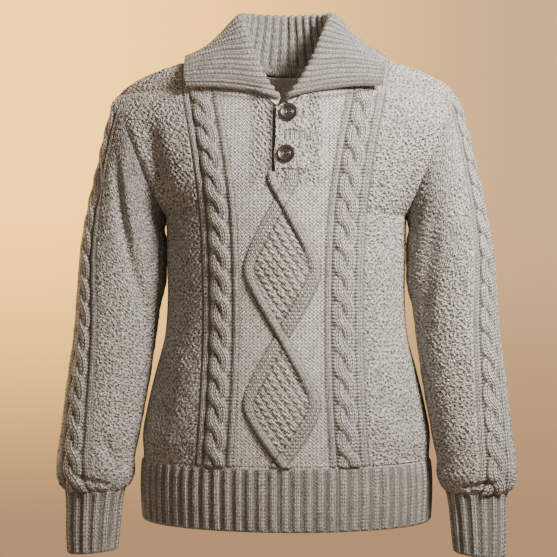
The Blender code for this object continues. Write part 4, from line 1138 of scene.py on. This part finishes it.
# Distance from the axis, height over the back.
BUTTON_PROFILE = np.array([
    [0.0, 0.0], [7.5, 0.0], [10.6, 1.1], [11.25, 2.4], [10.7, 3.6], [9.6, 3.9], [8.4, 3.35], [7.2, 3.3],
    [6.4, 2.5], [4.0, 2.35], [0.0, 2.3],
])
BUTTON_POINTS, BUTTON_STEPS = 72, 96
HOLE_AT, HOLE_SIZE, HOLE_DEPTH = 1.75, 0.85, 1.7
# Tool rings: height, pitch, and the radius inside which they are.
RINGS = (0.16, 1.7, 10.9)


def make_button(name, place):
    """Radius and height along a smoothed profile, turned in even steps, with tool rings and four dimples."""
    keys = lengths_along(BUTTON_PROFILE)
    at = np.linspace(0, keys[-1], BUTTON_POINTS + 1)
    radius, height = np.moveaxis(smooth_curve(keys, BUTTON_PROFILE, at), 1, 0)
    radius = np.maximum(radius, 0)
    radius[[0, -1]] = 0.02
    angle = np.arange(BUTTON_STEPS)[:, None] * 2 * math.pi / BUTTON_STEPS
    a, b = radius * np.cos(angle), radius * np.sin(angle)
    ring_height, pitch, reach = RINGS
    rings = ring_height * np.cos(2 * math.pi * radius / pitch) * (at > keys[3]) * (radius < reach) * eased(radius / 2)
    far = np.hypot(np.abs(a) - HOLE_AT, np.abs(b) - HOLE_AT) / HOLE_SIZE
    dimple = np.exp(-(far**4)) * (at > keys[5])
    h = height + rings - HOLE_DEPTH * dimple
    back, out = panel_face(-1, *np.array(place, float))
    sideways = unit(np.cross([0.0, 0.0, 1.0], out))
    points = back + out * (BAND_RAISE + BUTTON_CLEAR)
    points = points + a[..., None] * sideways + b[..., None] * np.cross(out, sideways) + h[..., None] * out
    return close_ends(name, points, {"dimple": dimple})


def close_ends(name, points, masks):
    """A turned grid into a closed mesh: quads round it, and a fan of triangles at each pole."""
    ids = np.arange(points[..., 0].size).reshape(points.shape[:2])
    quads, after = grid_quads(ids, True).reshape(-1, 4), np.roll(ids, -1, axis=0)
    flat = points.reshape(-1, 3) * METRES
    first = np.stack([after[:, 0], ids[:, 0], len(flat) + 0 * ids[:, 0]], axis=-1)
    last = np.stack([ids[:, -1], after[:, -1], len(flat) + 1 + 0 * ids[:, 0]], axis=-1)
    triangles = np.concatenate([first, last])
    flat = np.concatenate([flat, [flat[ids[:, 0]].mean(axis=0), flat[ids[:, -1]].mean(axis=0)]])
    if inside_out(flat - flat.mean(axis=0), quads):
        quads, triangles = quads[:, ::-1], triangles[:, ::-1]
    masks = {key: np.append(value, value[0, [0, -1]]) for key, value in masks.items()}
    return fill_mesh(name, flat, quads, triangles, np.zeros((0, 2)), masks)


PIECES += [(make_button(label + "_turned", place), label) for label, place in BUTTONS.items()]

# %% [markdown]
# ## Wool
#
# Heathered wool is spun from fibres of several greys, so its colour changes along each strand of yarn. A knit
# stitch shows as a V, a purl stitch as a small bump, and moss stitch as uneven knots with pits between them. All
# are drawn from the UVs, which count wales and courses, so that they follow the cloth round every fold. Painted shade
# darkens the gaps between stitches, the pits and the hollows. Two node groups hold what the cloth shares: one gives
# the stitches' height and the painted shade of their gaps, the other the mix of fibres and the shade colour. A
# picture of knitting could be laid on instead, but it would blur close up and repeat.


# %% Small helpers for node trees
class Signal:
    """A node's output that is used like a number: each sign between two values makes one Math node."""

    def __init__(self, output):
        self.output, self.tree = output, output.id_data

    def maths(self, operation, *others):
        """An operation of the Math node, on this value and perhaps one more."""
        return signal(self.tree, "ShaderNodeMath", (self, *others), operation=operation)

    def __rsub__(self, other):
        return signal(self.tree, "ShaderNodeMath", (other, self), operation="SUBTRACT")

    __add__ = functools.partialmethod(maths, "ADD")
    __sub__ = functools.partialmethod(maths, "SUBTRACT")
    __mul__ = functools.partialmethod(maths, "MULTIPLY")
    __pow__ = functools.partialmethod(maths, "POWER")

    def soft(self, low, high):
        """0 at low, 1 at high, with an S-shaped rise between."""
        return signal(self.tree, "ShaderNodeMapRange", (self, low, high, 0.0, 1.0), interpolation_type="SMOOTHSTEP")

    def noise(self, scale, detail, roughness, output=0):
        """Soft random clouds at this point."""
        return signal(self.tree, "ShaderNodeTexNoise", (self, None, scale, detail, roughness), output)

    def spots(self, scale, randomness):
        """Distance from this point to the nearest of a set of points that are pushed out of their grid."""
        inputs = {"Vector": self, "Scale": scale, "Randomness": randomness}
        return signal(self.tree, "ShaderNodeTexVoronoi", inputs, "Distance", voronoi_dimensions="2D")


def node(tree, kind, inputs=(), **settings):
    """A node with its settings. Its inputs, in their order or by name, are linked or set."""
    made = tree.nodes.new(kind)
    for key, value in settings.items():
        setattr(made, key, value)
    for key, value in inputs.items() if isinstance(inputs, dict) else enumerate(inputs):
        if isinstance(value, Signal):
            tree.links.new(value.output, made.inputs[key])
        elif value is not None:
            made.inputs[key].default_value = value
    return made


def signal(tree, kind, inputs=(), output=0, **settings):
    """One output of such a node."""
    return Signal(node(tree, kind, inputs, **settings).outputs[output])


def blend(share, first, second, kind="RGBA"):
    """A mix of two colours or of two plain numbers: the first at share 0, the second at 1."""
    at, output = (6, 2) if kind == "RGBA" else (2, 0)
    return signal(share.tree, "ShaderNodeMix", {0: share, at: first, at + 1: second}, output, data_type=kind)


def group(name, inputs, outputs):
    """An empty node group with named sockets, its inputs as signals and its output node."""
    tree = bpy.data.node_groups.new(name, "ShaderNodeTree")
    for direction, sockets in (("INPUT", inputs), ("OUTPUT", outputs)):
        for label, kind in sockets.items():
            tree.interface.new_socket(label, in_out=direction, socket_type="NodeSocket" + kind)
    given = tree.nodes.new("NodeGroupInput").outputs
    return tree, [Signal(given[label]) for label in inputs], tree.nodes.new("NodeGroupOutput")


def start_material(name, inputs):
    """A new material whose shader has these constants: the material, its node tree and the shader."""
    material = bpy.data.materials.new(name)
    material.use_nodes = True
    shader = material.node_tree.nodes["Principled BSDF"]
    for label, value in inputs.items():
        shader.inputs[label].default_value = value
    return material, material.node_tree, shader


# %% Height and gaps of the stitches
def knit_stitch(u, v):
    """Two legs that rise outwards from the wale's middle. Painted shade darkens the gaps between wales, up the V and at
    its ends.
    """
    s = (u.maths("FRACT") - 0.5).maths("ABSOLUTE") * 2.0
    leg = ((v - s * 0.62).maths("FRACT") * math.pi).maths("SINE").maths("MAXIMUM", 0.0) ** 0.55
    across = (s * math.pi).maths("SINE").maths("MAXIMUM", 0.0)
    beside, middle, ends = s.soft(0.62, 0.96) * 0.95, s.soft(0.2, 0.0) * 0.55, leg.soft(0.72, 0.2) * 0.8
    return leg * across**0.4, beside.maths("MAXIMUM", middle.maths("MAXIMUM", ends))


def purl_stitch(u, v):
    """Rows of purl bumps: each course is a ridge that waves up and down once a wale, and noise bends it. Painted shade
    darkens the line between two courses, most where it waves up."""
    uneven = signal(u.tree, "ShaderNodeCombineXYZ", (u, v)).noise(0.8, 1.0, 0.5)
    wave = (u * (2 * math.pi)).maths("COSINE")
    course = (v + (wave * 0.3 + uneven * 1.1)).maths("FRACT")
    row = (course * math.pi).maths("SINE").maths("MAXIMUM", 0.0)
    return (wave * 0.15 + 0.75) * row**0.6, row.soft(0.75, 0.2) * (wave * 0.36 + 0.6)


def moss_stitch(u, v):
    """Uneven knots with small pits darkened by painted shade: near each of two sets of points the cloth dips, and noise
    bends them.
    """
    tree = u.tree
    place = signal(tree, "ShaderNodeCombineXYZ", (u * 0.9, v * 0.82))
    rough = place.noise(2.3, 2.0, 0.6, "Color")
    bent = signal(tree, "ShaderNodeVectorMath", (rough, (0.5, 0.5, 0.5)), operation="MULTIPLY")
    bent = signal(tree, "ShaderNodeVectorMath", (place, bent), operation="ADD")
    away, near = bent.spots(1.0, 0.8), bent.spots(2.1, 1.0)
    deep = away.soft(0.36, 0.14) * place.noise(0.9, 1.0, 0.5).soft(0.3, 0.58)
    fine = near.soft(0.43, 0.12) * 0.74
    return away.soft(0.08, 0.5) + near * 1.1, deep.maths("MAXIMUM", fine) * 0.95


def stitch_group():
    """Height and painted gap shade at a UV: purl, unless the knit or the moss mask says otherwise."""
    tree, (uv, knit_mask, moss_mask), out = group(
        "knit stitches", {"UV": "Vector", "Knit": "Float", "Moss": "Float"}, {"Height": "Float", "Gap shade": "Float"})
    parts = node(tree, "ShaderNodeSeparateXYZ", [uv]).outputs
    kinds = [make(Signal(parts[0]), Signal(parts[1])) for make in (knit_stitch, purl_stitch, moss_stitch)]
    for label, (knit, purl, moss) in zip(("Height", "Gap shade"), zip(*kinds)):
        value = blend(moss_mask, blend(knit_mask, purl, knit, "FLOAT"), moss, "FLOAT")
        tree.links.new(value.output, out.inputs[label])
    return tree


# %% Colour of heathered yarn
def heather_group():
    """Mixes dark and pale fibres into the base: fine flecks and cloudy patches, then painted shade in the gaps and pits
    where little light gets in.
    """
    tree, (point, base, dark, pale, shade_colour, gap), out = group(
        "heathered yarn",
        {"Point": "Vector", "Base": "Color", "Dark": "Color", "Pale": "Color", "Shade colour": "Color", "Gap shade": "Float"},
        {"Color": "Color", "Fuzz": "Float"})
    fine, cloud = point.noise(560.0, 2.0, 0.7), point.noise(45.0, 3.0, 0.55)
    colour = blend(fine.soft(0.53, 0.66) * 0.95, base, dark)
    colour = blend(fine.soft(0.47, 0.34) * 0.95, colour, pale)
    colour = blend(cloud.soft(0.42, 0.68) * 0.2, colour, dark)
    tree.links.new(blend(gap, colour, shade_colour).output, out.inputs["Color"])
    tree.links.new(fine.output, out.inputs["Fuzz"])
    return tree


STITCHES = stitch_group()
HEATHER = heather_group()
WOOL_BASE = (0.56, 0.525, 0.475, 1)
WOOL_DARK = (0.185, 0.167, 0.144, 1)
WOOL_PALE = (0.90, 0.865, 0.805, 1)
WOOL_SHADE = (0.042, 0.035, 0.028, 1)
# How far the bump stands out in metres, and how dark the painted shade in the stitches' gaps and the hollows is.
STITCH_DEPTH, STITCH_GAP_SHADE_STRENGTH, HOLLOW_SHADE_STRENGTH = 0.0021, 0.9, 0.86


# %% The cloth's material
def wool_material():
    """Wool: stitches and fibres as bump, heather as colour, and painted shade between stitches and in the hollows."""
    material, tree, shader = start_material("heathered wool", {
        "Roughness": 0.95, "Specular IOR Level": 0.12, "Sheen Weight": 0.12, "Sheen Roughness": 0.5,
        "Sheen Tint": (1.0, 0.96, 0.9, 1)})
    knit, moss, hollow_shade = (signal(tree, "ShaderNodeAttribute", output="Fac", attribute_name=key)
                          for key in ("knit", "moss", "hollow_shade"))
    uv = signal(tree, "ShaderNodeUVMap", uv_map="stitches")
    place = signal(tree, "ShaderNodeTexCoord", output="Object")
    stitch = node(tree, "ShaderNodeGroup", node_tree=STITCHES)
    for label, value in (("UV", uv), ("Knit", knit), ("Moss", moss)):
        tree.links.new(value.output, stitch.inputs[label])
    # Painted shade: the share of colour kept outside the stitches' gaps and the hollows.
    lit = (1.0 - Signal(stitch.outputs["Gap shade"]) * STITCH_GAP_SHADE_STRENGTH) * (1.0 - hollow_shade * HOLLOW_SHADE_STRENGTH)
    heather = node(tree, "ShaderNodeGroup", node_tree=HEATHER)
    for label, value in (("Base", WOOL_BASE), ("Dark", WOOL_DARK), ("Pale", WOOL_PALE), ("Shade colour", WOOL_SHADE)):
        heather.inputs[label].default_value = value
    for label, value in (("Point", place), ("Gap shade", 1.0 - lit)):
        tree.links.new(value.output, heather.inputs[label])
    height = Signal(stitch.outputs["Height"]) + Signal(heather.outputs["Fuzz"]) * 0.45
    bump = signal(tree, "ShaderNodeBump", {"Strength": 1.0, "Distance": STITCH_DEPTH, "Height": height})
    tree.links.new(heather.outputs["Color"], shader.inputs["Base Color"])
    tree.links.new(bump.output, shader.inputs["Normal"])
    return material


WOOL = wool_material()

# %% [markdown]
# ## Button material
#
# Dark brown wood-like stuff, turned and lightly polished. Its grain runs across the face, and painted shade darkens the
# holes.

# %% Dark turned button
def button_material():
    """Brown grain from stretched noise, painted shade in the holes, and a soft polish."""
    material, tree, shader = start_material("dark turned button", {
        "Roughness": 0.34, "Coat Weight": 0.25, "Coat Roughness": 0.25})
    place = signal(tree, "ShaderNodeTexCoord", output="Object")
    grain = signal(tree, "ShaderNodeMapping", {"Vector": place, "Scale": (900, 300, 160)}).noise(1.0, 4.0, 0.6)
    ramp = node(tree, "ShaderNodeValToRGB", [grain])
    for element, (position, colour) in zip(ramp.color_ramp.elements, (
            (0.35, (0.012, 0.007, 0.005, 1)), (0.68, (0.036, 0.021, 0.014, 1)))):
        element.position, element.color = position, colour
    dimple = signal(tree, "ShaderNodeAttribute", output="Fac", attribute_name="dimple")
    # Painted shade: the dimpled holes are coloured near black.
    colour = blend(dimple, Signal(ramp.outputs[0]), (0.004, 0.003, 0.002, 1))
    bump = signal(tree, "ShaderNodeBump", {"Distance": 0.00015, "Height": grain})
    tree.links.new(colour.output, shader.inputs["Base Color"])
    tree.links.new(bump.output, shader.inputs["Normal"])
    return material


BUTTON = button_material()

# %% [markdown]
# ## Camera, light and floor
#
# The garment is seen from the height of its middle, a little from its left. A long lens keeps its sides parallel. A
# soft lamp stands high to the right and shines across the chest, so that every stitch throws a small shade. A weak
# one in front opens the shaded side, a warm one behind on the left draws the edge of the sleeve, and the world gives
# a weak light from all round. What the camera sees of the world is a beige backdrop with painted light on it, lighter
# towards the upper left and darker low, and the Light Path node keeps that tone out of the light.

# %% Camera
CAMERA_AWAY = 2.0
CAMERA_AZIMUTH = math.radians(3.0)
CAMERA_HEIGHT = -0.304
CAMERA_SIDE = -0.010
VIEW_WIDTH = 0.741

camera = bpy.data.objects.new("camera", bpy.data.cameras.new("camera"))
scene = bpy.context.scene
scene.collection.objects.link(camera)
scene.camera = camera
camera.data.sensor_width = 36
camera.data.lens = 36 * CAMERA_AWAY / VIEW_WIDTH
camera.location = (CAMERA_AWAY * math.sin(CAMERA_AZIMUTH) + CAMERA_SIDE, -CAMERA_AWAY * math.cos(CAMERA_AZIMUTH),
                   CAMERA_HEIGHT)
camera.rotation_euler = (math.pi / 2, 0, CAMERA_AZIMUTH)


# %% Lamps
def soft_lamp(name, at, size, power, colour, aim=(0, 0, -0.3), spread=180):
    """A square area lamp that faces a point of the garment. A small spread keeps its light to that part."""
    data = bpy.data.lights.new(name, "AREA")
    data.size, data.energy, data.color, data.spread = size, power, colour, math.radians(spread)
    lamp = bpy.data.objects.new(name, data)
    scene.collection.objects.link(lamp)
    lamp.location = at
    away = np.array(at) - np.array(aim)
    lamp.rotation_euler = (math.atan2(math.hypot(away[0], away[1]), away[2]), 0, math.atan2(away[0], -away[1]))


soft_lamp("key", (0.94, -0.88, 0.6), 0.4, 12.2, (1.0, 0.96, 0.91), (0.27, 0, -0.08), 68)
soft_lamp("fill", (-0.35, -1.9, 0.2), 1.2, 7.0, (1.0, 0.86, 0.7))
soft_lamp("rim", (-1.3, 0.75, 0.3), 0.8, 42, (1.0, 0.68, 0.4))

# %% World and floor
AMBIENT = (0.14, 0.122, 0.103, 1)
# Painted light on the backdrop: its bright left, its right, and its dark low part.
BACKDROP_LEFT = (0.97, 0.50, 0.085, 1)
BACKDROP_RIGHT = (0.29, 0.176, 0.085, 1)
BACKDROP_LOW = (0.163, 0.094, 0.047, 1)
BACKDROP_LIGHT = 3.5
FLOOR_HEIGHT, FLOOR_RADIUS, FLOOR_POINTS = -1.42, 2.6, 96

world = bpy.data.worlds.new("studio")
scene.world = world
world.use_nodes = True
tree = world.node_tree
looking = node(tree, "ShaderNodeSeparateXYZ", [signal(tree, "ShaderNodeTexCoord", output="Generated")]).outputs
# Painted light on the backdrop: lighter to the left, darker low.
backdrop = blend(Signal(looking[0]).soft(0.12, -0.22), BACKDROP_RIGHT, BACKDROP_LEFT)
backdrop = blend(Signal(looking[2]).soft(-0.17, 0.08), BACKDROP_LOW, backdrop)
seen = signal(tree, "ShaderNodeLightPath", output="Is Camera Ray")
ambient = tree.nodes["Background"]
ambient.inputs["Color"].default_value = AMBIENT
painted_backdrop = signal(tree, "ShaderNodeBackground", [backdrop, BACKDROP_LIGHT])
both = signal(tree, "ShaderNodeMixShader", [seen, Signal(ambient.outputs[0]), painted_backdrop])
tree.links.new(both.output, tree.nodes["World Output"].inputs["Surface"])

mesh = bpy.data.meshes.new("floor")
angles = np.arange(FLOOR_POINTS) * 2 * math.pi / FLOOR_POINTS
ring = np.stack([FLOOR_RADIUS * np.cos(angles), FLOOR_RADIUS * np.sin(angles), FLOOR_HEIGHT + 0 * angles], axis=-1)
mesh.from_pydata(ring.tolist(), [], [list(range(FLOOR_POINTS))])
floor = bpy.data.objects.new("floor", mesh)
scene.collection.objects.link(floor)
paint, _, _ = start_material("pale floor", {"Base Color": (0.74, 0.68, 0.6, 1), "Roughness": 0.8})
mesh.materials.append(paint)

# %% [markdown]
# ## Each piece takes its solid's place
#
# A piece hides the solid that it stands for, rides on the one rigid body and names the finish it takes.

# %% Dress the solids
for piece, node_name in PIECES:
    piece.data.materials.append(BUTTON if node_name.startswith("button") else WOOL)
    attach(piece, "root")
    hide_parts(node_name)
